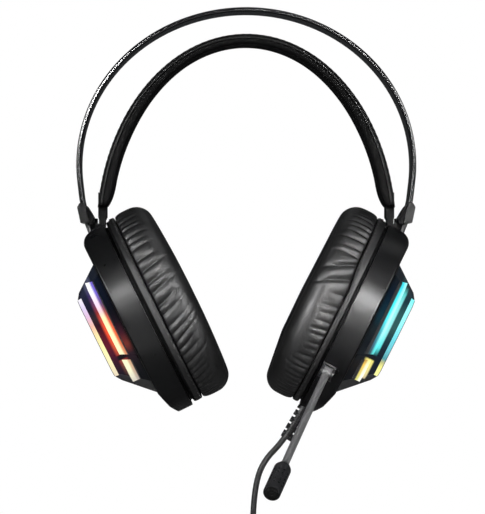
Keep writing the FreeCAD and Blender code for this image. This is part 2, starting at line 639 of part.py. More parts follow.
# ------------------------------------------------------------------ microphone arm
def mic_mount():
    """Foot moulded to the curve of the housing, with two ears that hold the arm's pin."""
    foot = box(0, 2 * MIC_HALF_W, MIC_Y + 1.2, -30, MIC_V - 3.6, MIC_V + 4.4)
    ears = rod(V(0, MIC_Y, MIC_V), V(1, 0, 0), 3.3, 2 * MIC_HALF_W)
    web = box(0, 2 * MIC_HALF_W, MIC_Y, -34, MIC_V - 3.3, MIC_V + 3.3)
    out = foot.fuse([ears, web])
    out = out.cut(rod(V(1.3, MIC_Y, MIC_V), V(1, 0, 0), 3.6, 4.2))
    out = out.cut(box(1.3, 5.5, MIC_Y - 6, MIC_Y, MIC_V - 6, MIC_V + 6))
    out = out.cut(slab(HALF_Y, HALF_V, -1, HOUSE_DEEP))
    return out.cut(rod(V(-1, MIC_Y, MIC_V), V(1, 0, 0), MIC_PIN_R, 12))


def mic_pin():
    return rod(V(0, MIC_Y, MIC_V), V(1, 0, 0), MIC_PIN_R, 2 * MIC_HALF_W)


def boom_way():
    points = [V(MIC_W, MIC_Y, MIC_V)]
    way = None
    for angle in BOOM_ANGLES:
        a = math.radians(angle)
        way = V(BOOM_SIDE, -math.sin(a), -math.cos(a))
        points.append(points[-1] + way * BOOM_STEP)
    return points, way


def mic_boom():
    points, way = boom_way()
    edges, _ = rounded_edges(points)
    first = points[1] - points[0]
    arm = tube(edges, BOOM_R, points[0], first)
    knuckle = rod(V(1.4, MIC_Y, MIC_V), V(1, 0, 0), KNUCKLE_R, 4.0)
    return knuckle.fuse(arm).cut(rod(V(-1, MIC_Y, MIC_V), V(1, 0, 0), MIC_PIN_R + RUN, 12))


def along_boom(shape):
    """From a piece drawn along +X at the origin to the end of the arm."""
    points, way = boom_way()
    out = shape.copy()
    out.Placement = FreeCAD.Placement(points[-1], FreeCAD.Rotation(V(1, 0, 0), way)).multiply(out.Placement)
    return out


def mic_capsule():
    r = CAPSULE_R
    body = turned([(BOOM_R + 0.02, -3.0), (2.5, -3.0), (r, 1.2), (r, CAPSULE_LONG - 0.5),
                   (r - 0.3, CAPSULE_LONG), (3.4, CAPSULE_LONG), (3.4, 3.0), (BOOM_R + 0.02, 3.0)])
    for i in range(10):
        a = 2 * math.pi * i / 10
        for j in range(5):
            body = body.cut(rod(V(7.5 + 3.1 * j, 0, 0), V(0, math.cos(a), math.sin(a)), 0.75, 6))
    return along_boom(body)


def mic_element():
    return along_boom(rod(V(12.0, 0, 0), V(1, 0, 0), 3.0, 5.0))


def mic_windscreen():
    plug = turned([(0, 17.4), (3.35, 17.4), (3.35, CAPSULE_LONG + 0.2), (2.8, CAPSULE_LONG + 0.9),
                   (1.5, CAPSULE_LONG + 1.5), (0, CAPSULE_LONG + 1.7)])
    return along_boom(plug)


# ------------------------------------------------------------------ cable
def relief_axis():
    way = ROUTE[1] - ROUTE[0]
    way.normalize()
    return ROUTE[0], way


def strain_relief():
    at, way = relief_axis()
    body = turned([(CABLE_R, 0), (RELIEF_FLANGE, 0), (RELIEF_FLANGE, 1.5), (RELIEF_NECK, 1.5),
                   (RELIEF_NECK, 4.4), (3.5, 4.4), (3.0, RELIEF_LONG), (CABLE_R, RELIEF_LONG)])
    core = rod(V(0, 0, 0), V(1, 0, 0), 1.8, 30)
    for i in range(RELIEF_RIBS):
        w = 6.2 + RELIEF_PITCH * i
        for side in (-1, 1):
            y0, y1 = sorted((side * 0.8, side * 5.0))
            slot = box(w, w + 1.0, y0, y1, -5, 5) if i % 2 else box(w, w + 1.0, -5, 5, y0, y1)
            body = body.cut(slot.cut(core))
    body.Placement = FreeCAD.Placement(at, FreeCAD.Rotation(V(1, 0, 0), way)).multiply(body.Placement)
    return body


def cable_coil():
    return Part.makeTorus(COIL_MID_R, COIL_TUBE_R, COIL_AT, V(0, 1, 0))


def cable(coil):
    edges, radii = rounded_edges(ROUTE)
    print("cable arc radii", ["%.1f" % r for r in radii])
    run = tube(edges, CABLE_R, ROUTE[0], ROUTE[1] - ROUTE[0])
    length = sum(e.Length for e in edges)
    print("cable tube volume %.1f, section x length %.1f" % (run.Volume, math.pi * CABLE_R ** 2 * length))
    low = COIL_AT.z - COIL_MID_R
    tail = rod(V(ROUTE[-1].x, 0, low), V(0, 0, -1), CABLE_R, TAIL_LONG)
    return Part.makeCompound([run.cut(coil), tail.cut(coil)])


def cable_tie(coil):
    at = COIL_AT + V(-COIL_MID_R, 0, 0)
    ring = rod(at - V(0, 0, 2.5), V(0, 0, 1), COIL_TUBE_R + 1.0, 5.0)
    return ring.cut(coil)


def usb_plug():
    x = ROUTE[-1].x
    top = COIL_AT.z - COIL_MID_R - TAIL_LONG
    gx, gy, gz = PLUG_GRIP
    grip = box(x - gx / 2, x + gx / 2, -gy / 2, gy / 2, top - gz, top - 5)
    grip = grip.makeFillet(2.0, [e for e in grip.Edges if e.BoundBox.ZLength > 10])
    neck = Part.makeCone(2.4, 3.2, 5.2, V(x, 0, top), V(0, 0, -1))
    sx, sy, sz = PLUG_SHELL
    low = top - gz
    shell = box(x - sx / 2, x + sx / 2, -sy / 2, sy / 2, low - sz, low)
    inner_x, inner_y = sx / 2 - PLUG_WALL, sy / 2 - PLUG_WALL
    shell = shell.cut(box(x - inner_x, x + inner_x, -inner_y, inner_y, low - sz - 1, low - 0.5))
    tongue = box(x - inner_x + 0.2, x + inner_x - 0.2, 0.05, inner_y - 0.05, low - sz + 0.8, low - 0.5)
    return grip.fuse(neck), shell, tongue


# ------------------------------------------------------------------ build
def main():
    wires = yoke_wires()
    beam = head_beam()
    save("head_beam", beam)
    save("spring_wires", Part.makeCompound(wires + [other_side(w) for w in wires]))
    clip = collar(beam, wires)
    save_pair("collar", clip)
    save_pair("yoke", yoke(beam, wires, clip))
    save_pair("tilt_pin", tilt_pin())

    band, pad = strap_layers()
    end = strap_end()
    for e in (end, other_side(end)):
        band = band.cut(e)
        pad = pad.cut(e)
    save("strap_band", band)
    save("strap_cushion", pad)
    save_pair("strap_end", end)
    save_pair("strap_elastic", strap_elastic())

    relief_at, relief_way = relief_axis()
    outlet = rod(relief_at, relief_way, RELIEF_NECK + 0.05, 12)
    outlet = outlet.fuse(rod(relief_at - relief_way * 3, relief_way, RELIEF_FLANGE + 0.2, 4.5))
    mic_side = to_cup(left_housing()).cut(outlet)
    save("left_housing", mic_side)
    save("right_housing", other_side(to_cup(housing_blank())))
    save("left_driver_baffle", to_cup(driver_baffle()).cut(outlet))
    save("right_driver_baffle", other_side(to_cup(driver_baffle())))
    for name, make in [("outer_cover", outer_cover), ("led_board", led_board),
                       ("baffle_screws", baffle_screws), ("driver", driver),
                       ("diaphragm", diaphragm), ("speaker_cloth", speaker_cloth), ("pad_ring", pad_ring),
                       ("cushion_skirt", cushion_skirt), ("ear_cushion", ear_cushion)]:
        save_pair(name, to_cup(make()))
    save_pair("light_guide_front", to_cup(light_guide(-1)))
    save_pair("light_guide_rear", to_cup(light_guide(1)))

    for name, make in [("volume_wheel", volume_wheel), ("mute_button", mute_button),
                       ("sound_board", sound_board), ("mic_mount", mic_mount), ("mic_pin", mic_pin),
                       ("mic_boom", mic_boom), ("mic_capsule", mic_capsule), ("mic_element", mic_element),
                       ("mic_windscreen", mic_windscreen)]:
        save(name, to_cup(make()))

    coil = cable_coil()
    grip, shell, tongue = usb_plug()
    save("strain_relief", strain_relief())
    save("usb_cable", cable(coil))
    save("cable_coil", coil)
    save("cable_tie", cable_tie(coil))
    save("usb_plug_grip", grip)
    save("usb_plug_shell", shell)
    save("usb_plug_tongue", tongue)


main()
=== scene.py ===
import math
import random
import bpy
import numpy as np
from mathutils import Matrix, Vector


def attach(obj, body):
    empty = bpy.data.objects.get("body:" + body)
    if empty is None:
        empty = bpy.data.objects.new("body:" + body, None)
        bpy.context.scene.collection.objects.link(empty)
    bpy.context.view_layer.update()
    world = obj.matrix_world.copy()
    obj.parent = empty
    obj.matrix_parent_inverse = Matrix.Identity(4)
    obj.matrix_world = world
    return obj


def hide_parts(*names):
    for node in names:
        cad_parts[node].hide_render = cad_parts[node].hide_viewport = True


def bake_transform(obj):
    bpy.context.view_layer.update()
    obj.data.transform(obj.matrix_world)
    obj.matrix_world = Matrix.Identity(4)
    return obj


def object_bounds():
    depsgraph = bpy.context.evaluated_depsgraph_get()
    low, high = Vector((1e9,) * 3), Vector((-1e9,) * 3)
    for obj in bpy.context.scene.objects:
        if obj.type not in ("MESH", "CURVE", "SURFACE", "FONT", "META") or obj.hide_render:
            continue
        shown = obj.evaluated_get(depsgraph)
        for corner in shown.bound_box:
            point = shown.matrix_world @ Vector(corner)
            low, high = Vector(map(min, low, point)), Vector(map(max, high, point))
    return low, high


# Looks of the over-ear gaming headset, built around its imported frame. Metres, +Z up, -Y to the
# wearer's front; "left" pieces are on +X, the side of the microphone.

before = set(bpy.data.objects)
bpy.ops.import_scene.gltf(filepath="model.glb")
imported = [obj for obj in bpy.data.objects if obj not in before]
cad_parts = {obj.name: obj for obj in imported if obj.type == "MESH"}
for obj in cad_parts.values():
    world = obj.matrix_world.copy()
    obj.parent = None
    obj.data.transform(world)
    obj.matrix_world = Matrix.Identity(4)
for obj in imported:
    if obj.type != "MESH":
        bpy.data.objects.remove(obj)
cad_low, cad_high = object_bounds()
MM = 0.001

# ---- camera: nearly level view from the front, on the middle of what shows of the headset
CAMERA_TARGET = (-0.0018, 0, -0.1221)
CAMERA_AWAY = 1.8
CAMERA_LENS = 251.6
CAMERA_TURN, CAMERA_RISE = math.radians(-0.5), math.radians(-0.25)

# ---- lamps: place, the point that each one faces, size, power and spread in degrees
MIDDLE = (0, 0, -0.12)
LEFT_CUP, RIGHT_CUP = (0.09, 0, -0.15), (-0.09, 0, -0.15)
LAMPS = {
    "key_left": ((-0.225, -1.62, 0.365), (-0.12, 0, -0.14), (0.2, 0.28), 0.09, 9),
    "key_right": ((0.262, -1.656, 0.165), (0.12, 0, -0.15), (0.2, 0.28), 0.15, 9),
    "side_left": ((-0.95, -1.15, 0.25), LEFT_CUP, (0.25, 0.5), 0.65, 40),
    "side_right": ((0.95, -1.15, 0.25), RIGHT_CUP, (0.25, 0.5), 0.6, 40),
    "low": ((0, -1.05, -0.38), (0, -1.0, 1), (1.7, 0.75), 4, 180),
    "top": ((0.3, -0.25, 0.95), MIDDLE, (0.9, 0.5), 1.3, 180),
    "band_card": ((-0.111, -1.2, 0.018), (-0.073, 0, -0.04), (0.02, 0.042), 0.0006, 4),
    "back": ((0, 0.9, 1.1), MIDDLE, (1.0, 0.4), 0.5, 180),
}
SKY, SKY_STRENGTH = (0.9, 0.95, 1.0), 0.03

# ---- floor: size, gap below the plug, grey that bounces light and grey that the camera sees, and how
# much of that view is plain white
FLOOR_HALF = 1.5
FLOOR_GAP = 0.02
FLOOR_BOUNCE, FLOOR_SEEN = 0.3, 0.85
FLOOR_WHITE = 0.8

# ---- the cup's own frame: w outwards, y back, v up along the cup, in millimetres
CUP_AT = (49.5, -150.05)
LEAN = math.radians(26.35)
HALF_Y, HALF_V = 43.0, 51.3
ROUNDNESS = 2.35
SIDES = {"left": 1, "right": -1}

# ---- ear cushion, skirt and seam
GROOVE_W = -1.55
SEAM_W = -6.2
PAD_FACE = -24.4
PAD_HALF = (43.3, 51.3)
EAR_HALF = (22.0, 29.0)
FACE_ROUND = 9.0
PAD_ROWS, PAD_AROUND = 56, 260
PAD_SHRINK = 0.5                    # how much smaller the cover is made before it is inflated
PAD_PINNED = (2, 9)                 # rows sewn to the ring at its two edges, which stay put
SKIRT_ROWS, SKIRT_AROUND = 26, 420
SKIRT_NOTCH = (11, 44, -3.5)        # under the strap's end: half its width, lower end (v) and depth (w)

# ---- cloth simulation of the stuffed covers
SIM_FRAMES = 20
SIM_CAP = 1.3 * MM
CLOTH = {
    "quality": 4, "mass": 0.2, "tension_stiffness": 12, "compression_stiffness": 12,
    "shear_stiffness": 6, "bending_stiffness": 0.4, "use_pressure": True,
    "uniform_pressure_force": 4.0, "vertex_group_mass": "pin",
}

# ---- stitches: rings of one stitch as (place along it, thickness, height), corners of a ring, the step
# over which the path's direction is taken; then spacing, length and radius of the two kinds, in metres
STITCH_RINGS = [(-0.5, 0.45, -1.3), (-0.36, 1.0, -0.5), (0.0, 1.0, -0.2), (0.36, 1.0, -0.5),
                (0.5, 0.45, -1.3)]
STITCH_SIDES = 6
STITCH_STEP = 0.0002
SEAM_STITCH = (0.0031, 0.0021, 0.00021)
STRAP_STITCH = (0.0034, 0.0024, 0.00022)
PIPING_R, PIPING_SIDES = 0.45, 8

# ---- strap: half span and height of its outer and inner faces' ellipses, thickness and lower end
STRAP_HALF_DEPTH = 19.0
STRAP_TOP = -11.4
STRAP_OUT = (74.4, 98.8)
STRAP_IN = (67.4, 92.7)
STRAP_THICK = 5.0
STRAP_BAND = 1.7
STRAP_LOW = -97.5
STRAP_STATIONS, STRAP_AROUND = 150, 72
TAPE_AT = (73.9, -113.4, -105.4)    # x, lower end and upper end of the elastic tape

# ---- cable: diameter, its route and the coil of the part that is put away
CABLE_D = 0.003
ROUTE = [(0.0317, 0, -0.1939), (0.0196, 0, -0.2134), (0.0084, 0, -0.2245), (0.0042, 0, -0.2380),
         (0.0030, 0, -0.2620), (0.0046, 0, -0.2900)]
COIL_R = 0.017
COIL_TURNS = 17
COIL_AT = (0.0046 - COIL_R, -0.311)
COIL_STEPS = 16
BUNDLE_R = 0.0063           # of the turns' bundle, to the middles of its outermost turns
TAIL_END = -0.3405


# ------------------------------------------------------------------ small helpers
def cup_to_row(points, side):
    """(n, 3) array of w, y, v in millimetres to row-frame metres; side is 1 on +X and -1 on -X."""
    p = np.asarray(points, float).reshape(-1, 3)
    x = CUP_AT[0] + p[:, 0] * math.cos(LEAN) + p[:, 2] * math.sin(LEAN)
    z = CUP_AT[1] - p[:, 0] * math.sin(LEAN) + p[:, 2] * math.cos(LEAN)
    return np.stack([side * x, p[:, 1], z], 1) * MM


def row_to_cup(points, side):
    """The reverse of cup_to_row."""
    p = np.asarray(points, float).reshape(-1, 3) / MM
    x = side * p[:, 0] - CUP_AT[0]
    z = p[:, 2] - CUP_AT[1]
    w = x * math.cos(LEAN) - z * math.sin(LEAN)
    v = x * math.sin(LEAN) + z * math.cos(LEAN)
    return np.stack([w, p[:, 1], v], 1)


def signed_power(a, exponent):
    return np.sign(a) * np.abs(a) ** exponent


def oval(half_y, half_v, angles):
    """Points (y, v) on the cup's oval of that size."""
    y = half_y * signed_power(np.cos(angles), 2 / ROUNDNESS)
    v = half_v * signed_power(np.sin(angles), 2 / ROUNDNESS)
    return y, v


def oval_run(y, v):
    """Distance run along an oval to each of its points."""
    return np.concatenate([[0], np.cumsum(np.hypot(np.diff(y), np.diff(v)))])


def path_run(points):
    """Distance run along a path to each of its points."""
    return np.concatenate([[0], np.cumsum(np.linalg.norm(np.diff(points, axis=0), axis=1))])


def even_angles(half_y, half_v, count):
    """Angles whose points lie at even distances around the oval."""
    fine = np.linspace(0, 2 * math.pi, 20001)
    run = oval_run(*oval(half_y, half_v, fine))
    return np.interp(np.arange(count) / count * run[-1], run, fine)


def smooth(edge0, edge1, x):
    t = np.clip((x - edge0) / (edge1 - edge0), 0, 1)
    return t * t * (3 - 2 * t)


def mesh_object(name, verts, faces):
    mesh = bpy.data.meshes.new(name)
    mesh.from_pydata([tuple(v) for v in verts], [], faces)
    mesh.validate()
    mesh.shade_smooth()
    obj = bpy.data.objects.new(name, mesh)
    bpy.context.collection.objects.link(obj)
    return obj


def grid_faces(rows, columns, close_rows=False, close_columns=True, flip=False):
    """Quads of a grid of points stored row after row."""
    faces = []
    for r in range(rows if close_rows else rows - 1):
        for c in range(columns if close_columns else columns - 1):
            r2 = (r + 1) % rows
            c2 = (c + 1) % columns
            quad = [r * columns + c, r * columns + c2, r2 * columns + c2, r2 * columns + c]
            faces.append(quad[::-1] if flip else quad)
    return faces


def tube_faces(rows, columns, flip=False):
    """Quads of a tube of points stored ring after ring, and a face over each end."""
    ends = [list(range(columns))[::-1], [(rows - 1) * columns + i for i in range(columns)]]
    return grid_faces(rows, columns, flip=flip) + [end[::-1] if flip else end for end in ends]


def vertices(obj):
    co = np.empty(len(obj.data.vertices) * 3)
    obj.data.vertices.foreach_get("co", co)
    return co.reshape(-1, 3)


def set_vertices(obj, co):
    obj.data.vertices.foreach_set("co", np.ascontiguousarray(co).ravel())
    obj.data.update()


def apply_modifiers(obj):
    graph = bpy.context.evaluated_depsgraph_get()
    mesh = bpy.data.meshes.new_from_object(obj.evaluated_get(graph))
    obj.modifiers.clear()
    obj.data = mesh
    mesh.shade_smooth()


# ------------------------------------------------------------------ camera, stage and light
def make_camera():
    data = bpy.data.cameras.new("camera")
    data.lens = CAMERA_LENS
    data.sensor_width = 36
    data.clip_end = 20
    turn, rise = CAMERA_TURN, CAMERA_RISE
    away = Vector((math.sin(turn) * math.cos(rise), -math.cos(turn) * math.cos(rise), math.sin(rise)))
    camera = bpy.data.objects.new("camera", data)
    camera.location = Vector(CAMERA_TARGET) + away * CAMERA_AWAY
    camera.rotation_euler = (math.pi / 2 - rise, 0, turn)
    bpy.context.collection.objects.link(camera)
    bpy.context.scene.camera = camera


def area_light(name, at, towards, size, power, spread):
    data = bpy.data.lights.new(name, "AREA")
    data.shape = "RECTANGLE"
    data.size, data.size_y = size
    data.energy = power
    data.spread = math.radians(spread)
    obj = bpy.data.objects.new(name, data)
    obj.location = at
    obj.rotation_euler = (Vector(towards) - Vector(at)).to_track_quat("-Z", "Y").to_euler()
    bpy.context.collection.objects.link(obj)
    obj.visible_camera = False


def light_path_tree(owner):
    """The owner's emptied node tree, and the outputs that tell rays apart."""
    owner.use_nodes = True
    tree = owner.node_tree
    tree.nodes.clear()
    return tree, tree.nodes.new("ShaderNodeLightPath").outputs


def finish_mixed(tree, factor, first, second, out_kind):
    """Ends a node tree in a mix of two shaders."""
    mix = tree.nodes.new("ShaderNodeMixShader")
    for socket, source in zip(mix.inputs, (factor, first, second)):
        tree.links.new(source, socket)
    tree.links.new(mix.outputs[0], tree.nodes.new(out_kind).inputs[0])


def make_world():
    """Faint even light on the headset; the camera sees plain white behind it."""
    world = bpy.data.worlds.new("studio")
    bpy.context.scene.world = world
    tree, rays = light_path_tree(world)
    soft = tree.nodes.new("ShaderNodeBackground")
    soft.inputs["Color"].default_value = (*SKY, 1)
    soft.inputs["Strength"].default_value = SKY_STRENGTH
    white = tree.nodes.new("ShaderNodeBackground")
    white.inputs["Color"].default_value = (1, 1, 1, 1)
    seen = tree.nodes.new("ShaderNodeMath")
    seen.operation = "MAXIMUM"
    tree.links.new(rays["Is Camera Ray"], seen.inputs[0])
    tree.links.new(rays["Is Transmission Ray"], seen.inputs[1])
    finish_mixed(tree, seen.outputs[0], soft.outputs[0], white.outputs[0], "ShaderNodeOutputWorld")


def make_floor():
    """Pale floor below the plug; what the camera sees of it is nearly white and keeps the shadow."""
    half = FLOOR_HALF
    z = cad_low.z - FLOOR_GAP
    floor = mesh_object("floor", [(-half, -half, z), (half, -half, z), (half, half, z), (-half, half, z)],
                        [(0, 1, 2, 3)])
    m = bpy.data.materials.new("floor_white")
    tree, rays = light_path_tree(m)
    seen = tree.nodes.new("ShaderNodeMath")
    seen.operation = "MULTIPLY"
    seen.inputs[1].default_value = FLOOR_WHITE
    tree.links.new(rays["Is Camera Ray"], seen.inputs[0])
    shade = tree.nodes.new("ShaderNodeMix")
    shade.data_type = "RGBA"
    shade.inputs["A"].default_value = (FLOOR_BOUNCE, FLOOR_BOUNCE, FLOOR_BOUNCE, 1)
    shade.inputs["B"].default_value = (FLOOR_SEEN, FLOOR_SEEN, FLOOR_SEEN, 1)
    tree.links.new(rays["Is Camera Ray"], shade.inputs["Factor"])
    matt = tree.nodes.new("ShaderNodeBsdfDiffuse")
    tree.links.new(shade.outputs["Result"], matt.inputs["Color"])
    glow = tree.nodes.new("ShaderNodeEmission")
    finish_mixed(tree, seen.outputs[0], matt.outputs[0], glow.outputs[0], "ShaderNodeOutputMaterial")
    floor.data.materials.append(m)


def make_lights():
    for name, lamp in LAMPS.items():
        area_light(name, *lamp)


# ------------------------------------------------------------------ materials
NOISE_LOW, NOISE_HIGH = 0.3, 0.7        # nearly all values of a noise texture lie between these


class Surface:
    """One principled material, with small steps to add the detail that a real finish shows."""

    def __init__(self, name, colour, roughness, **settings):
        self.material = bpy.data.materials.new(name)
        self.material.use_nodes = True
        self.tree = self.material.node_tree
        self.shader = self.tree.nodes["Principled BSDF"]
        self.colour = colour
        self.shader.inputs["Base Color"].default_value = (*colour, 1)
        self.shader.inputs["Roughness"].default_value = roughness
        for key, value in settings.items():
            self.shader.inputs[key.replace("_", " ")].default_value = value
        self.coords = self.tree.nodes.new("ShaderNodeTexCoord")
        self.normal = None

    def add(self, kind, **values):
        node = self.tree.nodes.new(kind)
        for key, value in values.items():
            setattr(node, key, value)
        return node

    def noise(self, scale, detail=3.0, rough=0.5, stretch=None):
        node = self.add("ShaderNodeTexNoise")
        node.inputs["Scale"].default_value = scale
        node.inputs["Detail"].default_value = detail
        node.inputs["Roughness"].default_value = rough
        self.tree.links.new(self.place(stretch), node.inputs["Vector"])
        return node.outputs["Fac"]

    def place(self, stretch=None):
        if stretch is None:
            return self.coords.outputs["Object"]
        mapping = self.add("ShaderNodeMapping")
        mapping.inputs["Scale"].default_value = stretch
        self.tree.links.new(self.coords.outputs["Object"], mapping.inputs["Vector"])
        return mapping.outputs["Vector"]

    def cells(self, scale, feature="F1"):
        node = self.add("ShaderNodeTexVoronoi")
        node.feature = feature
        node.inputs["Scale"].default_value = scale
        self.tree.links.new(self.place(), node.inputs["Vector"])
        return node.outputs["Distance"]

    def ramp(self, source, stops):
        node = self.add("ShaderNodeValToRGB")
        while len(node.color_ramp.elements) < len(stops):
            node.color_ramp.elements.new(0.5)
        for element, (at, colour) in zip(node.color_ramp.elements, stops):
            element.position = at
            element.color = (*colour, 1)
        self.tree.links.new(source, node.inputs["Fac"])
        return node.outputs["Color"]

    def vary_colour(self, source, low, high):
        """Colour runs from low to high times its own value with the source."""
        stops = [(NOISE_LOW, [c * low for c in self.colour]), (NOISE_HIGH, [c * high for c in self.colour])]
        self.tree.links.new(self.ramp(source, stops), self.shader.inputs["Base Color"])
        return self

    def vary_roughness(self, source, low, high):
        spread = self.map_range(source, NOISE_LOW, NOISE_HIGH, low, high)
        self.tree.links.new(spread, self.shader.inputs["Roughness"])
        return self

    def map_range(self, source, low, high, to_low=0.0, to_high=1.0):
        node = self.add("ShaderNodeMapRange")
        for key, value in (("From Min", low), ("From Max", high), ("To Min", to_low), ("To Max", to_high)):
            node.inputs[key].default_value = value
        self.tree.links.new(source, node.inputs["Value"])
        return node.outputs["Result"]

    def calc(self, operation, *inputs):
        """A math node; each of its inputs is a number or another node's output."""
        node = self.add("ShaderNodeMath", operation=operation)
        for socket, value in zip(node.inputs, inputs):
            if isinstance(value, (int, float)):
                socket.default_value = value
            else:
                self.tree.links.new(value, socket)
        return node.outputs[0]

    def axes(self):
        """Outputs X, Y and Z of the place in the object's own frame."""
        split = self.add("ShaderNodeSeparateXYZ")
        self.tree.links.new(self.coords.outputs["Object"], split.inputs[0])
        return split.outputs

    def bump(self, source, depth, strength=1.0):
        """Depth in metres; later bumps ride on earlier ones."""
        node = self.add("ShaderNodeBump")
        node.inputs["Distance"].default_value = depth
        node.inputs["Strength"].default_value = strength
        self.tree.links.new(source, node.inputs["Height"])
        if self.normal is not None:
            self.tree.links.new(self.normal, node.inputs["Normal"])
        self.normal = node.outputs["Normal"]
        self.tree.links.new(self.normal, self.shader.inputs["Normal"])
        return self


def gloss_black(name, roughness, coat):
    s = Surface(name, (0.006, 0.006, 0.007), roughness, Coat_Weight=0.4, Coat_Roughness=coat)
    s.vary_roughness(s.noise(25, 2), roughness * 0.9, roughness * 1.15)
    return s.vary_colour(s.noise(40), 0.9, 1.15)


def satin_plastic(name, colour=(0.005, 0.0051, 0.0055), roughness=0.3, shine=0.35):
    s = Surface(name, colour, roughness, Specular_IOR_Level=shine)
    s.vary_roughness(s.noise(120, 4), roughness * 0.9, roughness * 1.12)
    s.vary_colour(s.noise(60), 0.92, 1.08)
    s.bump(s.noise(4200, 2, 0.6), 0.000008)
    return s.bump(s.noise(60, 2), 0.00002, 0.5)


def leatherette(name, colour=(0.006, 0.006, 0.0063), roughness=0.44, creases=0.00006, shine=1.0):
    """Coated fabric with a fine pebble grain and slightly duller hollows."""
    s = Surface(name, colour, roughness, Specular_IOR_Level=shine)
    s.vary_roughness(s.noise(150, 4), roughness * 0.85, roughness * 1.2)
    s.vary_colour(s.noise(80, 4), 0.85, 1.2)
    s.bump(s.noise(190, 3), creases, 0.5)
    return s.bump(s.cells(1300), 0.000018, 0.6)


def rubber(name, colour, roughness):
    s = Surface(name, colour, roughness)
    s.vary_roughness(s.noise(200, 3), roughness * 0.88, roughness * 1.1)
    s.vary_colour(s.noise(110, 3), 0.86, 1.16)
    return s.bump(s.noise(3500, 2), 0.00004)


def brushed_metal(name, colour, roughness):
    s = Surface(name, colour, roughness, Metallic=1.0)
    s.vary_roughness(s.noise(900, 3, stretch=(1, 1, 0.1)), roughness * 0.8, roughness * 1.3)
    s.vary_colour(s.noise(120, 3), 0.85, 1.1)
    return s.bump(s.noise(2500, 2, stretch=(1, 1, 0.1)), 0.00002)


def woven(name, colour, scale=1400, roughness=0.85):
    s = Surface(name, colour, roughness, Sheen_Weight=0.3, Sheen_Roughness=0.5)
    waves = []
    for axis in ("X", "Z"):
        wave = s.add("ShaderNodeTexWave", bands_direction=axis)
        wave.inputs["Scale"].default_value = scale / 3
        wave.inputs["Distortion"].default_value = 0.6
        s.tree.links.new(s.place(), wave.inputs["Vector"])
        waves.append(wave.outputs["Fac"])
    weave = s.calc("MULTIPLY", *waves)
    s.vary_colour(weave, 0.6, 1.4)
    return s.bump(weave, 0.0001)


def foam(name):
    s = Surface(name, (0.006, 0.006, 0.006), 0.95, Specular_IOR_Level=0.2)
    s.vary_colour(s.cells(1400), 0.4, 1.8)
    return s.bump(s.cells(1400), 0.0003)


def board(name):
    """Solder mask with paler tracks."""
    s = Surface(name, (0.012, 0.10, 0.04), 0.35)
    s.vary_colour(s.cells(260, "DISTANCE_TO_EDGE"), 1.5, 0.9)
    return s.bump(s.cells(260, "DISTANCE_TO_EDGE"), 0.00005)


def film(name):
    s = Surface(name, (0.5, 0.44, 0.3), 0.3)
    s.vary_colour(s.noise(150), 0.9, 1.1)
    return s.bump(s.noise(400, 2), 0.00003)


def cup_axes(s, side):
    """Outputs w and v of the cup's own frame in millimetres, for a piece on that side."""
    place = s.axes()

    def combine(cx, cz, base):
        return s.calc("MULTIPLY_ADD", place["Z"], cz / MM,
                      s.calc("MULTIPLY_ADD", place["X"], side * cx / MM, base))

    c, n = math.cos(LEAN), math.sin(LEAN)
    w = combine(c, -n, -(CUP_AT[0] * c - CUP_AT[1] * n))
    v = combine(n, c, -(CUP_AT[0] * n + CUP_AT[1] * c))
    return w, v


def linear(r, g, b):
    """From 0-255 screen values to the linear values that a shader takes."""
    return tuple(((c / 255 + 0.055) / 1.055) ** 2.4 if c > 10 else c / 255 / 12.92 for c in (r, g, b))


# colours along each cup's bars, from the lower end to the upper: (v, screen colour)
BAR_LOW, BAR_HIGH = -30.0, 30.0
BAR_CORE = {
    "right": [(-27, (215, 208, 193)), (-20, (252, 252, 208)), (-6, (253, 252, 195)), (2, (254, 254, 192)),
              (7, (253, 246, 184)), (11, (252, 212, 220)), (15, (252, 222, 250)), (22, (254, 253, 254))],
    "left": [(-25, (253, 254, 238)), (-19, (253, 252, 210)), (-15.5, (250, 242, 140)),
             (-13.5, (80, 200, 200)), (-8, (95, 245, 246)), (-1, (170, 254, 253)), (6, (188, 254, 252)),
             (15, (178, 254, 252)), (24, (150, 250, 250))],
}
BAR_EDGE = {
    "right": [(-27, (175, 165, 155)), (-18, (215, 170, 130)), (-8, (222, 110, 62)), (-1, (243, 100, 50)),
              (6, (220, 84, 52)), (10, (165, 70, 70)), (14, (97, 60, 110)), (20, (112, 92, 210))],
    "left": [(-27, (215, 215, 120)), (-19, (240, 200, 75)), (-15.5, (180, 125, 45)), (-13, (20, 60, 70)),
             (-8, (30, 100, 125)), (-1, (40, 170, 185)), (6, (60, 235, 245)), (14, (34, 240, 248)),
             (24, (38, 225, 240))],
}
# where along w a bar goes from dark to its edge colour, and its middle
BAR_DARK = {"right": (17.0, 17.5), "left": (18.0, 18.5)}
BAR_MIDDLE = {"right": 20.0, "left": 21.0}
# how far from its middle a bar's pale core gives way to its edge colour, and where the rim's bar starts
BAR_FRINGE = (0.8, 1.9)
RIM_FROM = 24.5
# the thin bar on the rim of the cover's face has colours of its own
RIM_BAR = {
    "right": [(-22, (232, 215, 190)), (-14, (250, 240, 188)), (-6, (252, 246, 178)), (1, (253, 232, 170)),
              (6, (243, 190, 168)), (11, (228, 190, 222)), (16, (222, 210, 243)), (21, (246, 243, 250))],
    "left": [(-22, (250, 249, 170)), (-16.5, (243, 240, 135)), (-14, (190, 190, 130)), (-12, (70, 150, 160)),
             (-7, (105, 200, 212)), (0, (110, 225, 238)), (7, (150, 248, 252)), (15, (160, 252, 251)),
             (21, (128, 246, 248))],
}


def along_ramp(s, v, stops):
    span = BAR_HIGH - BAR_LOW
    place = s.map_range(v, BAR_LOW, BAR_HIGH)
    return s.ramp(place, [((at - BAR_LOW) / span, linear(*c)) for at, c in stops])


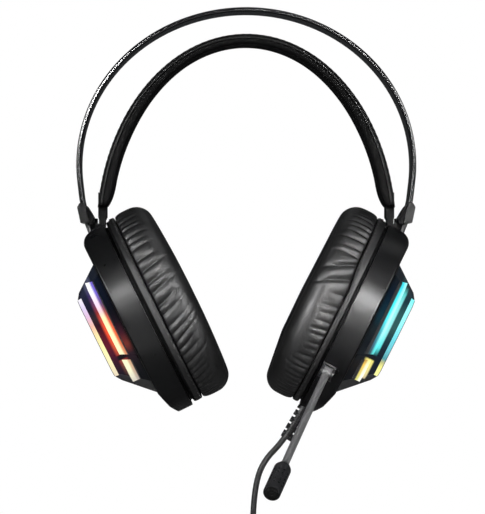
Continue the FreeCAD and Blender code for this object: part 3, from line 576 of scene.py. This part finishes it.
def mix_colours(s, factor, first, second):
    mix = s.add("ShaderNodeMix", data_type="RGBA")
    s.tree.links.new(factor, mix.inputs["Factor"])
    s.tree.links.new(first, mix.inputs["A"])
    s.tree.links.new(second, mix.inputs["B"])
    return mix.outputs["Result"]


def light_bar(name, side_name):
    """Frosted diffuser lit from behind: pale along its middle and saturated at its edges."""
    s = Surface(name, (0.5, 0.5, 0.5), 0.25)
    s.bump(s.noise(900, 2), 0.00002)
    w, v = cup_axes(s, SIDES[side_name])
    core = along_ramp(s, v, BAR_CORE[side_name])
    edge = along_ramp(s, v, BAR_EDGE[side_name])
    off_middle = s.calc("ABSOLUTE", s.calc("SUBTRACT", w, BAR_MIDDLE[side_name]))
    near_edge = s.map_range(off_middle, *BAR_FRINGE)
    long_bar = s.calc("LESS_THAN", w, RIM_FROM)
    bright = mix_colours(s, s.calc("MULTIPLY", near_edge, long_bar), core, edge)
    dark = s.add("ShaderNodeRGB")
    dark.outputs[0].default_value = (0.001, 0.001, 0.003, 1)
    long_bars = mix_colours(s, s.map_range(w, *BAR_DARK[side_name]), dark.outputs[0], bright)
    rim = along_ramp(s, v, RIM_BAR[side_name])
    s.tree.links.new(mix_colours(s, long_bar, rim, long_bars), s.shader.inputs["Emission Color"])
    s.shader.inputs["Emission Strength"].default_value = 1.05
    s.shader.inputs["Base Color"].default_value = (0.05, 0.05, 0.05, 1)
    return s


# what shines through the smoked cover between the bars (GLOW), between them and the housing (GLOW_LOW)
# and right beside the bars' outer edges (BESIDE)
GLOW = {
    "right": [(-25, (4, 4, 6)), (-22, (24, 20, 30)), (-14, (60, 18, 40)), (-6, (100, 22, 40)),
              (0, (88, 22, 34)), (5, (50, 15, 28)), (9, (50, 36, 40)), (14, (24, 24, 44)),
              (24, (32, 36, 62))],
    "left": [(-25, (4, 4, 6)), (-22, (24, 28, 36)), (-14, (12, 24, 36)), (-9, (18, 34, 46)),
             (-3, (24, 58, 66)), (4, (50, 94, 92)), (11, (46, 92, 92)), (18, (26, 56, 64)),
             (25, (44, 52, 58))],
}
GLOW_LOW = {
    "right": [(-25, (3, 3, 4)), (-21, (16, 12, 16)), (-14, (40, 24, 32)), (-9, (120, 48, 38)),
              (-3, (66, 20, 34)), (3, (28, 14, 24)), (9, (6, 6, 14)), (15, (6, 12, 28)),
              (24, (10, 18, 34))],
    "left": [(-25, (3, 3, 4)), (-21, (24, 20, 14)), (-14, (20, 26, 30)), (-9, (8, 16, 22)),
             (0, (20, 34, 38)), (6, (8, 50, 62)), (12, (4, 40, 54)), (18, (2, 26, 44)),
             (25, (16, 24, 30))],
}
BESIDE = {
    "right": [(-25.5, (4, 4, 6)), (-24, (30, 26, 28)), (-19, (110, 66, 56)), (-15.4, (150, 58, 48)),
              (-14.8, (20, 12, 16)), (-12.8, (20, 12, 16)), (-12.2, (170, 64, 48)), (-8, (215, 90, 60)),
              (-3, (246, 78, 46)), (2, (245, 86, 50)), (7, (214, 76, 62)), (11, (150, 50, 48)),
              (15, (112, 62, 100)), (20, (60, 48, 100)), (25, (76, 80, 104))],
    "left": [(-25.5, (6, 6, 8)), (-24.8, (232, 216, 170)), (-18.5, (250, 236, 140)),
             (-15.5, (248, 235, 130)), (-14.8, (18, 20, 26)), (-12.8, (18, 20, 26)), (-12, (40, 100, 104)),
             (-8, (95, 246, 244)), (0, (158, 253, 252)), (8, (160, 252, 250)), (15, (148, 247, 246)),
             (21, (100, 215, 212)), (25, (40, 60, 62))],
}
# where along w that light ends
BESIDE_END = {"right": (22.0, 23.2), "left": (22.4, 23.1)}
# where the glow fades: from GLOW_LOW to the rest, in from the housing, out at the rim (all along w), and
# towards the cover's plain face (half depth in metres)
GLOW_STEP, GLOW_IN, GLOW_OUT = (17.5, 19.0), (12.6, 14.5), (28.4, 26.2)
GLOW_FACE = (0.008, 0.014)


def smoked_cover(name, side_name):
    """Glossy smoked plastic; some of the bars' light shows through it beside them."""
    s = Surface(name, (0.003, 0.0035, 0.006), 0.07, Coat_Weight=0.6, Coat_Roughness=0.03)
    s.vary_roughness(s.noise(80, 4), 0.06, 0.11)
    s.bump(s.noise(500, 2), 0.00001)
    w, v = cup_axes(s, SIDES[side_name])
    outer = mix_colours(s, s.map_range(w, *BESIDE_END[side_name]), along_ramp(s, v, BESIDE[side_name]),
                        along_ramp(s, v, GLOW[side_name]))
    colour = mix_colours(s, s.map_range(w, *GLOW_STEP), along_ramp(s, v, GLOW_LOW[side_name]), outer)
    s.tree.links.new(colour, s.shader.inputs["Emission Color"])
    across = s.calc("MULTIPLY", s.map_range(w, *GLOW_IN), s.map_range(w, *GLOW_OUT))
    slanted = s.map_range(s.calc("ABSOLUTE", s.axes()["Y"]), *GLOW_FACE)
    s.tree.links.new(s.calc("MULTIPLY", across, slanted), s.shader.inputs["Emission Strength"])
    return s


# where along w the skirt's shaded edge by the groove begins and ends
SKIRT_DULL = {"right": (-2.6, -3.0), "left": (-1.7, -2.2)}


def dull_groove(s, side_name, deep, open_edge, shine):
    """The groove between housing and skirt is in shadow: its walls hardly shine below its open edge."""
    w, _ = cup_axes(s, SIDES[side_name])
    s.tree.links.new(s.map_range(w, deep, open_edge, 0.02, shine), s.shader.inputs["Specular IOR Level"])


def make_materials():
    made = {
        "beam": gloss_black("beam_gloss", roughness=0.17, coat=0.13),
        "wire": satin_plastic("wire_steel", (0.03, 0.03, 0.031), 0.35, 0.8),
        "collar": satin_plastic("yoke_satin", (0.006, 0.006, 0.0063), 0.42, 0.25),
        "yoke": satin_plastic("yoke_black", (0.003, 0.003, 0.0031), 0.5, 0.12),
        "mount": satin_plastic("mount_grey", (0.02, 0.02, 0.021), 0.32, 0.4),
        "tape": woven("elastic_tape", (0.02, 0.02, 0.02)),
        "strap": leatherette("strap_leatherette", (0.0032, 0.0032, 0.0033), 0.6, 0.000008, 0.12),
        # painted highlight: the piping's grey, paler than the strap's, stands in for part of the light line
        # along the strap's edges
        "piping": leatherette("piping_leatherette", (0.012, 0.012, 0.012), 0.4, 0.00002, 0.5),
        "pad": leatherette("padded_leatherette"),
        "thread": woven("sewing_thread", (0.03, 0.03, 0.031), 2600, 0.7),
        "control": satin_plastic("control_black", (0.012, 0.012, 0.0125), 0.38),
        "board": board("board_green"),
        "baffle": satin_plastic("baffle_black", (0.003, 0.003, 0.003), 0.55, 0.15),
        "screw": brushed_metal("screw_steel", (0.4, 0.4, 0.41), 0.28),
        "driver": brushed_metal("driver_steel", (0.2, 0.2, 0.21), 0.4),
        "cone": film("cone_film"),
        "cloth": woven("speaker_cloth", (0.015, 0.015, 0.016)),
        "boom": rubber("boom_rubber", (0.15, 0.15, 0.153), 0.5),
        "mic": satin_plastic("mic_black", (0.022, 0.022, 0.024), 0.36),
        "foam": foam("mic_foam"),
        "relief": rubber("relief_rubber", (0.008, 0.008, 0.0085), 0.42),
        "cable": rubber("cable_rubber", (0.018, 0.018, 0.019), 0.42),
        "plug": satin_plastic("plug_black"),
        "plug_metal": brushed_metal("plug_steel", (0.7, 0.7, 0.71), 0.2),
    }
    for side_name in SIDES:
        made["housing_" + side_name] = satin_plastic("housing_satin_" + side_name)
        dull_groove(made["housing_" + side_name], side_name, -0.5, 0.1, 0.35)
        made["leather_" + side_name] = leatherette("leatherette_" + side_name, creases=0.00002)
        dull_groove(made["leather_" + side_name], side_name, *SKIRT_DULL[side_name], 0.8)
        made["light_" + side_name] = light_bar("light_" + side_name, side_name)
        made["cover_" + side_name] = smoked_cover("cover_smoked_" + side_name, side_name)
    return {key: s.material for key, s in made.items()}


# which material each CAD node wears; names without the side stand for both cups
SIDED = ("light", "cover", "housing", "leather")
FINISH = {
    "head_beam": "beam", "spring_wires": "wire", "collar": "collar", "yoke": "yoke", "tilt_pin": "screw",
    "strap_end": "yoke", "outer_cover": "cover", "light_guide_front": "light", "light_guide_rear": "light",
    "strap_elastic": "tape", "strap_band": "strap", "strap_cushion": "strap", "housing": "housing",
    "led_board": "board", "driver_baffle": "baffle", "baffle_screws": "screw", "driver": "driver",
    "diaphragm": "cone", "speaker_cloth": "cloth", "pad_ring": "baffle", "cushion_skirt": "leather",
    "ear_cushion": "pad", "volume_wheel": "control", "mute_button": "control", "sound_board": "board",
    "mic_mount": "mount", "mic_pin": "screw", "mic_boom": "boom", "mic_capsule": "mic",
    "mic_element": "driver", "mic_windscreen": "foam", "strain_relief": "relief", "usb_cable": "cable",
    "cable_coil": "cable", "cable_tie": "tape", "usb_plug_grip": "plug", "usb_plug_shell": "plug_metal",
    "usb_plug_tongue": "control",
}


def dress_cad(materials):
    for name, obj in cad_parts.items():
        side_name = name.split("_")[0]
        plain = name.split("_", 1)[1] if side_name in SIDES else name
        key = FINISH[plain]
        if key in SIDED:
            key += "_" + side_name
        obj.data.materials.clear()
        obj.data.materials.append(materials[key])


# ------------------------------------------------------------------ cable
def packed_places(count, spacing, limit):
    """Places in a round bundle, a diameter apart, from the middle outwards."""
    places = []
    steps = range(-4, 5)
    for i in steps:
        for j in steps:
            x = spacing * (i + j / 2)
            y = spacing * j * math.sqrt(3) / 2
            if math.hypot(x, y) < limit:
                places.append((round(math.hypot(x, y), 6), math.atan2(y, x), x, y))
    places.sort()
    return [(x, y) for _, _, x, y in places[:count]]


def coil_points():
    places = packed_places(COIL_TURNS, CABLE_D, BUNDLE_R)
    points = []
    for turn, (side_step, out_step) in enumerate(places):
        last = places[turn - 1] if turn else places[0]
        for step in range(COIL_STEPS):
            share = step / COIL_STEPS
            blend = min(1.0, share * 3)
            r = COIL_R + last[1] + (out_step - last[1]) * blend
            y = last[0] + (side_step - last[0]) * blend
            a = -2 * math.pi * share
            points.append((COIL_AT[0] + r * math.cos(a), y, COIL_AT[1] + r * math.sin(a)))
    return points


def make_cable(materials):
    curve = bpy.data.curves.new("cable", "CURVE")
    curve.dimensions = "3D"
    curve.bevel_depth = CABLE_D / 2
    curve.bevel_resolution = 5
    curve.resolution_u = 6
    spline = curve.splines.new("NURBS")
    last_place = packed_places(COIL_TURNS, CABLE_D, BUNDLE_R)[-1]
    tail = [(ROUTE[-1][0] + last_place[1], last_place[0], COIL_AT[1]),
            (ROUTE[-1][0], 0, COIL_AT[1] - COIL_R), (ROUTE[-1][0], 0, TAIL_END)]
    points = ROUTE + coil_points() + tail
    spline.points.add(len(points) - 1)
    for target, point in zip(spline.points, points):
        target.co = (*point, 1)
    spline.order_u = 3
    spline.use_endpoint_u = True
    cable = bpy.data.objects.new("cable", curve)
    bpy.context.collection.objects.link(cable)
    curve.materials.append(materials["cable"])
    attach(cable, "left_cup")
    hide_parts("usb_cable", "cable_coil")


# ------------------------------------------------------------------ soft parts, stitches and piping
def evenly(points, count, closed=True):
    """count points at even distances along a path of points."""
    p = np.asarray(points, float)
    if closed:
        p = np.vstack([p, p[:1]])
    run = path_run(p)
    at = np.linspace(0, run[-1], count + 1)[:-1] if closed else np.linspace(0, run[-1], count)
    return np.stack([np.interp(at, run, p[:, i]) for i in range(p.shape[1])], 1)


def inflate(obj, pinned, cap=SIM_CAP):
    """Cloth simulation of the stuffed cover; the result is applied, each point moved no further than cap."""
    before = vertices(obj)
    group = obj.vertex_groups.new(name="pin")
    group.add([int(i) for i in np.nonzero(pinned)[0]], 1.0, "REPLACE")
    cloth = obj.modifiers.new("cloth", "CLOTH")
    for key, value in CLOTH.items():
        setattr(cloth.settings, key, value)
    cloth.settings.effector_weights.gravity = 0
    cloth.collision_settings.use_collision = False
    cloth.point_cache.frame_start = 1
    cloth.point_cache.frame_end = SIM_FRAMES
    scene = bpy.context.scene
    scene.frame_start = 1
    scene.frame_end = SIM_FRAMES
    for f in range(1, SIM_FRAMES + 1):
        scene.frame_set(f)
    apply_modifiers(obj)
    obj.vertex_groups.clear()
    after = vertices(obj)
    move = after - before
    far = np.linalg.norm(move, axis=1, keepdims=True)
    move *= np.minimum(1, cap / np.maximum(far, 1e-9))
    set_vertices(obj, before + move)
    print("inflated", obj.name, "moved up to %.2f mm" % (far.max() / MM))
    scene.frame_set(1)


def subdivide(obj, levels):
    mod = obj.modifiers.new("subdivision", "SUBSURF")
    mod.levels = levels
    mod.render_levels = levels
    apply_modifiers(obj)


def thread(name, path, lift, spacing, length, radius, closed):
    """Row of stitches along a path in metres; lift is the direction in which each one stands proud."""
    path = np.asarray(path, float)
    lift = np.asarray(lift, float)
    if closed:
        path = np.vstack([path, path[:1]])
        lift = np.vstack([lift, lift[:1]])
    run = path_run(path)
    count = int(run[-1] / spacing)

    def between(table, at):
        return np.array([np.interp(at, run, table[:, i]) for i in range(3)])

    verts, faces = [], []
    for k in range(count):
        middle = (k + 0.5) * run[-1] / count
        for along, swell, rise in STITCH_RINGS:
            at = middle + along * length
            up = between(lift, at)
            way = between(path, min(at + STITCH_STEP, run[-1])) - between(path, max(at - STITCH_STEP, 0))
            way /= np.linalg.norm(way)
            up = up - way * (up @ way)
            up /= np.linalg.norm(up)
            side = np.cross(way, up)
            here = between(path, at) + up * rise * radius
            for i in range(STITCH_SIDES):
                a = 2 * math.pi * i / STITCH_SIDES
                verts.append(here + (up * math.sin(a) + side * math.cos(a)) * radius * swell)
        base = k * len(STITCH_RINGS) * STITCH_SIDES
        faces += [[base + i for i in face] for face in tube_faces(len(STITCH_RINGS), STITCH_SIDES)]
    return mesh_object(name, verts, faces)


def cord_mesh(name, path, radius):
    """Piping: a thin round cord along an open path in metres."""
    path = np.asarray(path, float)
    way = np.gradient(path, axis=0)
    way /= np.linalg.norm(way, axis=1, keepdims=True)
    flat = np.array([0, 1.0, 0])
    verts = []
    for here, along in zip(path, way):
        side = np.cross(along, flat)
        side /= np.linalg.norm(side)
        for i in range(PIPING_SIDES):
            a = 2 * math.pi * i / PIPING_SIDES
            verts.append(here + (flat * math.sin(a) + side * math.cos(a)) * radius)
    return mesh_object(name, verts, tube_faces(len(path), PIPING_SIDES))


# ------------------------------------------------------------------ ear cushions and their skirts
def pad_profile():
    """Cross-section of the cushion as (inset from the outer oval, w), from the seam round to the back."""
    wide = PAD_HALF[0] - EAR_HALF[0]
    s = PAD_SHRINK
    turns = [(2.2, SEAM_W - 0.1), (1.5, SEAM_W - 0.35), (0.6 + s, SEAM_W - 1.3), (0.15 + s, SEAM_W - 3.0),
             (s, SEAM_W - 5.5)]

    def arc(cx, cw, r, a0, a1, steps=8):
        for i in range(steps + 1):
            a = math.radians(a0 + (a1 - a0) * i / steps)
            turns.append((cx - r * math.cos(a), cw - r * math.sin(a)))

    arc(FACE_ROUND + s, PAD_FACE + s + FACE_ROUND, FACE_ROUND, 0, 90)
    arc(wide - 6.0 - s, PAD_FACE + s + 6.0, 6.0, 90, 180)
    turns += [(wide - s, -12.0), (wide - s, SEAM_W - 1.5), (wide - 1.0, SEAM_W - 0.15),
              (wide * 0.5, SEAM_W - 0.15)]
    return evenly(turns, PAD_ROWS, closed=False)


def ring_grid(angles, profile, outer, inner_share):
    """Points w, y, v of a ring of that section; its ovals shrink by inner_share times the inset."""
    points = []
    for inset, w in profile:
        y, v = oval(outer[0] - inset * inner_share[0], outer[1] - inset * inner_share[1], angles)
        points.append(np.stack([np.full_like(y, w), y, v], 1))
    return np.concatenate(points)


def around_table(half):
    """Fine tables of angle, distance run and place (y, v) around an oval."""
    angle = np.linspace(-math.pi, math.pi, 8001)
    y, v = oval(half[0], half[1], angle)
    return angle, oval_run(y, v), y, v


# gathered folds of each cushion, stretch by stretch from the top down: the stretch's lower end (v),
# spacing, slope towards the face, reach from the seam and depth
FOLDS = {
    "right": [(32, 4.4, 0.0, 14, 0.9), (20, 5.4, 0.12, 17, 1.1), (8, 6.6, 0.25, 20, 1.3),
              (-6, 6.6, 0.36, 21, 1.35), (-20, 5.4, 0.44, 20, 1.2), (-34, 4.4, 0.48, 17, 1.0),
              (-52, 3.8, 0.48, 13, 0.8)],
    "left": [(25, 4.4, -0.06, 18, 1.0), (15, 8.5, -0.55, 21, 1.5), (-30, 4.4, -0.12, 8.0, 0.6),
             (-52, 3.6, 0.1, 12, 0.7)],
}
FOLD_SEEDS = {"left": 11, "right": 7}
SEAM_RISE = {"left": 1.6, "right": 0.0}


def pleats(co, side_name):
    """How far in millimetres each point (w, y, v) of the cushion sinks between its gathered folds."""
    random.seed(FOLD_SEEDS[side_name])
    angle = np.arctan2(signed_power(co[:, 2] / PAD_HALF[1], ROUNDNESS / 2),
                       signed_power(co[:, 1] / PAD_HALF[0], ROUNDNESS / 2))
    fine, run, y, v = around_table(PAD_HALF)
    around = run[-1]
    s = np.interp(angle, fine, run)
    from_seam = np.clip(SEAM_W - co[:, 0], 0, None)
    before, after = np.full(len(co), 1e9), np.full(len(co), 1e9)
    depth_before, depth_after = np.zeros(len(co)), np.zeros(len(co))
    at = 0.0
    while at < around - 2.5:
        middle_v = np.interp(at, run, v)
        _, spacing, slope, reach, depth = next(f for f in FOLDS[side_name] if f[0] <= middle_v)
        slope *= random.uniform(0.94, 1.06)
        reach *= random.uniform(0.8, 1.15)
        depth *= random.uniform(0.6, 1.2)
        lean = slope if np.interp(at, run, y) > 0 else -slope
        centre = at + lean * from_seam + 0.25 * np.sin(from_seam * 0.3 + at)
        gap = (s - centre + around / 2) % around - around / 2
        here = depth * smooth(reach, 0, from_seam) ** 0.8
        past = (gap >= 0) & (gap < before)
        ahead = (gap < 0) & (-gap < after)
        before[past], depth_before[past] = gap[past], here[past]
        after[ahead], depth_after[ahead] = -gap[ahead], here[ahead]
        at += spacing * random.uniform(0.75, 1.25)
    share = before / (before + after)
    depth = depth_before * (1 - share) + depth_after * share
    return depth * (1.25 * np.abs(2 * share - 1) ** 2.4 - 0.3)


def seam_rise(v, side_name):
    """How much nearer to the housing than its plain place the cushion's seam lies at v."""
    return SEAM_RISE[side_name] * smooth(26, 8, v)


def worn_shape(co, side_name):
    """The two cushions aren't quite alike: one bulges over its middle, the other is thinner below."""
    deep = np.clip((SEAM_W - co[:, 0]) / (SEAM_W - PAD_FACE), 0, 1)
    lift = seam_rise(co[:, 2], side_name) * (1 - deep)
    if side_name == "right":
        co[:, 0] -= 1.7 * deep ** 1.6 * np.clip(1 - (co[:, 2] / 44) ** 2, 0, 1)
    else:
        co[:, 0] += deep ** 1.6 * (1.9 * smooth(-18, -46, co[:, 2]) - 0.4 * smooth(30, 0, np.abs(co[:, 2])))
    co[:, 0] += lift
    return co


def make_cushion(side_name, materials):
    """Crowned ring, inflated and then gathered into folds along its seam."""
    side = SIDES[side_name]
    angles = even_angles(*PAD_HALF, PAD_AROUND)
    share = (1.0, (PAD_HALF[1] - EAR_HALF[1]) / (PAD_HALF[0] - EAR_HALF[0]))
    grid = ring_grid(angles, pad_profile(), PAD_HALF, share)
    pad = mesh_object(side_name + "_cushion", cup_to_row(worn_shape(grid, side_name), side),
                      grid_faces(PAD_ROWS, PAD_AROUND, close_rows=True, flip=side < 0))
    pinned = np.zeros((PAD_ROWS, PAD_AROUND), bool)
    pinned[:PAD_PINNED[0]] = True
    pinned[-PAD_PINNED[1]:] = True
    inflate(pad, pinned.ravel())
    subdivide(pad, 1)
    co = row_to_cup(vertices(pad), side)
    sink = pleats(co, side_name)
    inwards = co.copy()
    inwards[:, 0] = 0
    inwards /= np.maximum(np.linalg.norm(inwards, axis=1, keepdims=True), 1e-6)
    outer = smooth(0.70, 0.88, np.hypot(co[:, 1] / PAD_HALF[0], co[:, 2] / PAD_HALF[1]))
    co -= inwards * (sink * outer)[:, None]
    set_vertices(pad, cup_to_row(co, side))
    pad.data.materials.append(materials["pad"])
    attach(pad, side_name + "_cup")
    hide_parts(side_name + "_ear_cushion")


def make_skirt(side_name, materials):
    """Sewn strip between the housing and the cushion, a little gathered along its seam."""
    side = SIDES[side_name]
    outer = (HALF_Y - 0.5, HALF_V - 1.0)
    profile = [(0.5, GROOVE_W), (0.08, GROOVE_W - 0.35), (-0.05, GROOVE_W - 0.9), (-0.1, -4.2),
               (0.0, SEAM_W + 1.1), (0.05, SEAM_W + 0.6), (0.5, SEAM_W + 0.1), (1.4, SEAM_W + 0.1),
               (1.4, GROOVE_W)]
    angles = even_angles(*outer, SKIRT_AROUND)
    profile = evenly(profile, SKIRT_ROWS)
    grid = ring_grid(angles, profile, outer, (1, 1))
    random.seed(23 + side)
    _, run, y, v = around_table(outer)
    s = np.interp(np.tile((angles + math.pi) % (2 * math.pi) - math.pi, len(profile)),
                  np.linspace(-math.pi, math.pi, len(run)), run)
    near_seam = smooth(-3.4, SEAM_W + 0.4, grid[:, 0])
    sink = np.zeros(len(grid))
    at = 0.0
    while at < run[-1]:
        gap = (s - at + run[-1] / 2) % run[-1] - run[-1] / 2
        sink += random.uniform(0.08, 0.34) * near_seam * np.exp(-(gap / random.uniform(0.6, 1.3)) ** 2)
        at += random.uniform(2.6, 4.6)
    radial = grid.copy()
    radial[:, 0] = 0
    radial /= np.linalg.norm(radial, axis=1, keepdims=True)
    grid -= radial * sink[:, None]
    grid[:, 0] += seam_rise(grid[:, 2], side_name) * (GROOVE_W - grid[:, 0]) / (GROOVE_W - SEAM_W)
    half, low, deep = SKIRT_NOTCH
    notch = (np.abs(grid[:, 1]) < half) & (grid[:, 2] > low) & (grid[:, 0] > deep)
    grid[notch, 0] = deep
    skirt = mesh_object(side_name + "_skirt", cup_to_row(grid, side),
                        grid_faces(SKIRT_ROWS, SKIRT_AROUND, close_rows=True, flip=side < 0))
    skirt.data.materials.append(materials["leather_" + side_name])
    path = np.stack([SEAM_W + 1.0 + seam_rise(v, side_name), y * 0.998, v * 0.998], 1)[::10]
    lift = path * [0, 1, 1]
    foot = cup_to_row([[0, 0, 0]], side)
    sewing = thread(side_name + "_stitches", cup_to_row(path, side), cup_to_row(lift, side) - foot,
                    *SEAM_STITCH, closed=True)
    sewing.data.materials.append(materials["thread"])
    for piece in (skirt, sewing):
        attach(piece, side_name + "_cup")
    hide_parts(side_name + "_cushion_skirt")


# ------------------------------------------------------------------ strap and its elastic tapes
def arch(half, top, rise, shares):
    """Points (x, z) of a strap face from its +X end over the head to the other end."""
    middle = top - rise
    first = math.asin((STRAP_LOW - middle) / rise)
    turn = first + (math.pi - 2 * first) * shares
    return np.stack([half * np.cos(turn), middle + rise * np.sin(turn)], 1)


def bar_section(half, deep, top_r, low_r, count):
    """Closed outline (y, depth) of a flat padded bar with rounded edges."""
    top_r, low_r = min(top_r, deep * 0.45), min(low_r, deep * 0.5)
    points = []
    for cy, cd, r, a0 in ((half - top_r, top_r, top_r, -90), (half - low_r, deep - low_r, low_r, 0),
                          (-half + low_r, deep - low_r, low_r, 90), (-half + top_r, top_r, top_r, 180)):
        for i in range(6):
            a = math.radians(a0 + 90 * i / 5)
            points.append((cy + r * math.cos(a), cd + r * math.sin(a)))
    return evenly(points, count)


def strap_layer(name, upper, lower, half, top_r, low_r, end_round):
    """Mesh between two faces of the strap, thinner towards its ends, and each point's share of depth."""
    shares = np.linspace(0, 1, STRAP_STATIONS)
    out, inner = upper(shares), lower(shares)
    run = path_run(out)
    verts, deeps = [], []
    for (ox, oz), (ix, iz), gone in zip(out, inner, run):
        deep = math.hypot(ix - ox, iz - oz)
        nx, nz = (ix - ox) / deep, (iz - oz) / deep
        left = min(gone, run[-1] - gone)
        if left < end_round:
            deep *= 0.42 + 0.58 * math.sin(0.5 * math.pi * left / end_round) ** 0.8
        section = bar_section(half, deep, top_r, low_r, STRAP_AROUND)
        verts += [(ox + nx * d, y, oz + nz * d) for y, d in section]
        deeps.append(section[:, 1] / deep)
    faces = tube_faces(STRAP_STATIONS, STRAP_AROUND, flip=True)
    return mesh_object(name, np.array(verts) * MM, faces), np.concatenate(deeps)


def make_strap(materials):
    def face(step):
        return lambda shares: arch(STRAP_OUT[0] - step, STRAP_TOP - step, STRAP_OUT[1] - step, shares)

    def low_face(shares):
        return arch(STRAP_IN[0], STRAP_TOP - STRAP_THICK, STRAP_IN[1], shares)

    cover, _ = strap_layer("strap_cover", face(0.0), face(STRAP_BAND - 0.05), STRAP_HALF_DEPTH, 0.7, 0.7, 0.1)
    pad, depth = strap_layer("strap_pad", face(STRAP_BAND), low_face, STRAP_HALF_DEPTH - 0.5, 0.9, 2.2, 11.0)
    rows = np.repeat(np.arange(STRAP_STATIONS), STRAP_AROUND)
    pinned = (depth < 0.3) | (rows < 3) | (rows > STRAP_STATIONS - 4)
    inflate(pad, pinned, cap=0.7 * MM)
    subdivide(pad, 1)
    cover.data.materials.append(materials["strap"])
    pad.data.materials.append(materials["strap"])
    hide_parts("strap_band")
    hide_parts("strap_cushion")
    trims = []
    for name, y in (("front", -1), ("rear", 1)):
        line = face(STRAP_BAND)(np.linspace(0.004, 0.996, 160))
        edge = np.stack([line[:, 0], np.full(len(line), y * (STRAP_HALF_DEPTH - 0.25)), line[:, 1]], 1)
        trims.append(cord_mesh("strap_piping_" + name, edge * MM, PIPING_R * MM))
        trims[-1].data.materials.append(materials["piping"])
        line = face(0.0)(np.linspace(0.012, 0.988, 240))
        sewn = np.stack([line[:, 0], np.full(len(line), y * (STRAP_HALF_DEPTH - 2.4)), line[:, 1]], 1)
        lift = np.stack([line[:, 0], np.zeros(len(line)), line[:, 1] + 80.0], 1)
        trims.append(thread("strap_stitches_" + name, sewn * MM, lift, *STRAP_STITCH, closed=False))
        trims[-1].data.materials.append(materials["thread"])
    for piece in [cover, pad] + trims:
        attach(piece, "strap")


def make_tapes(materials):
    """Elastic tapes that stretch between the yoke and the strap's end."""
    x, low, high = TAPE_AT
    for side_name, side in SIDES.items():
        rows, wide, thick = 17, 5.0, 0.35
        verts = []
        for i in range(rows):
            z = low + (high - low) * i / (rows - 1)
            for dx, y in ((-thick, -wide), (thick, -wide), (thick, wide), (-thick, wide)):
                verts.append((side * (x + dx), y, z))
        faces = grid_faces(rows, 4, flip=side < 0)
        last = (rows - 1) * 4
        faces += [[3, 2, 1, 0], [last, last + 1, last + 2, last + 3]]
        tape = mesh_object(side_name + "_tape", np.array(verts) * MM, faces)
        tape.data.materials.append(materials["tape"])
        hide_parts(side_name + "_strap_elastic")
        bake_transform(tape)


# ------------------------------------------------------------------ build
make_camera()
materials = make_materials()
make_cable(materials)
make_world()
make_floor()
make_lights()
dress_cad(materials)
make_strap(materials)
make_tapes(materials)
for name in SIDES:
    make_skirt(name, materials)
    make_cushion(name, materials)

bpy.context.scene.view_settings.view_transform = "Standard"
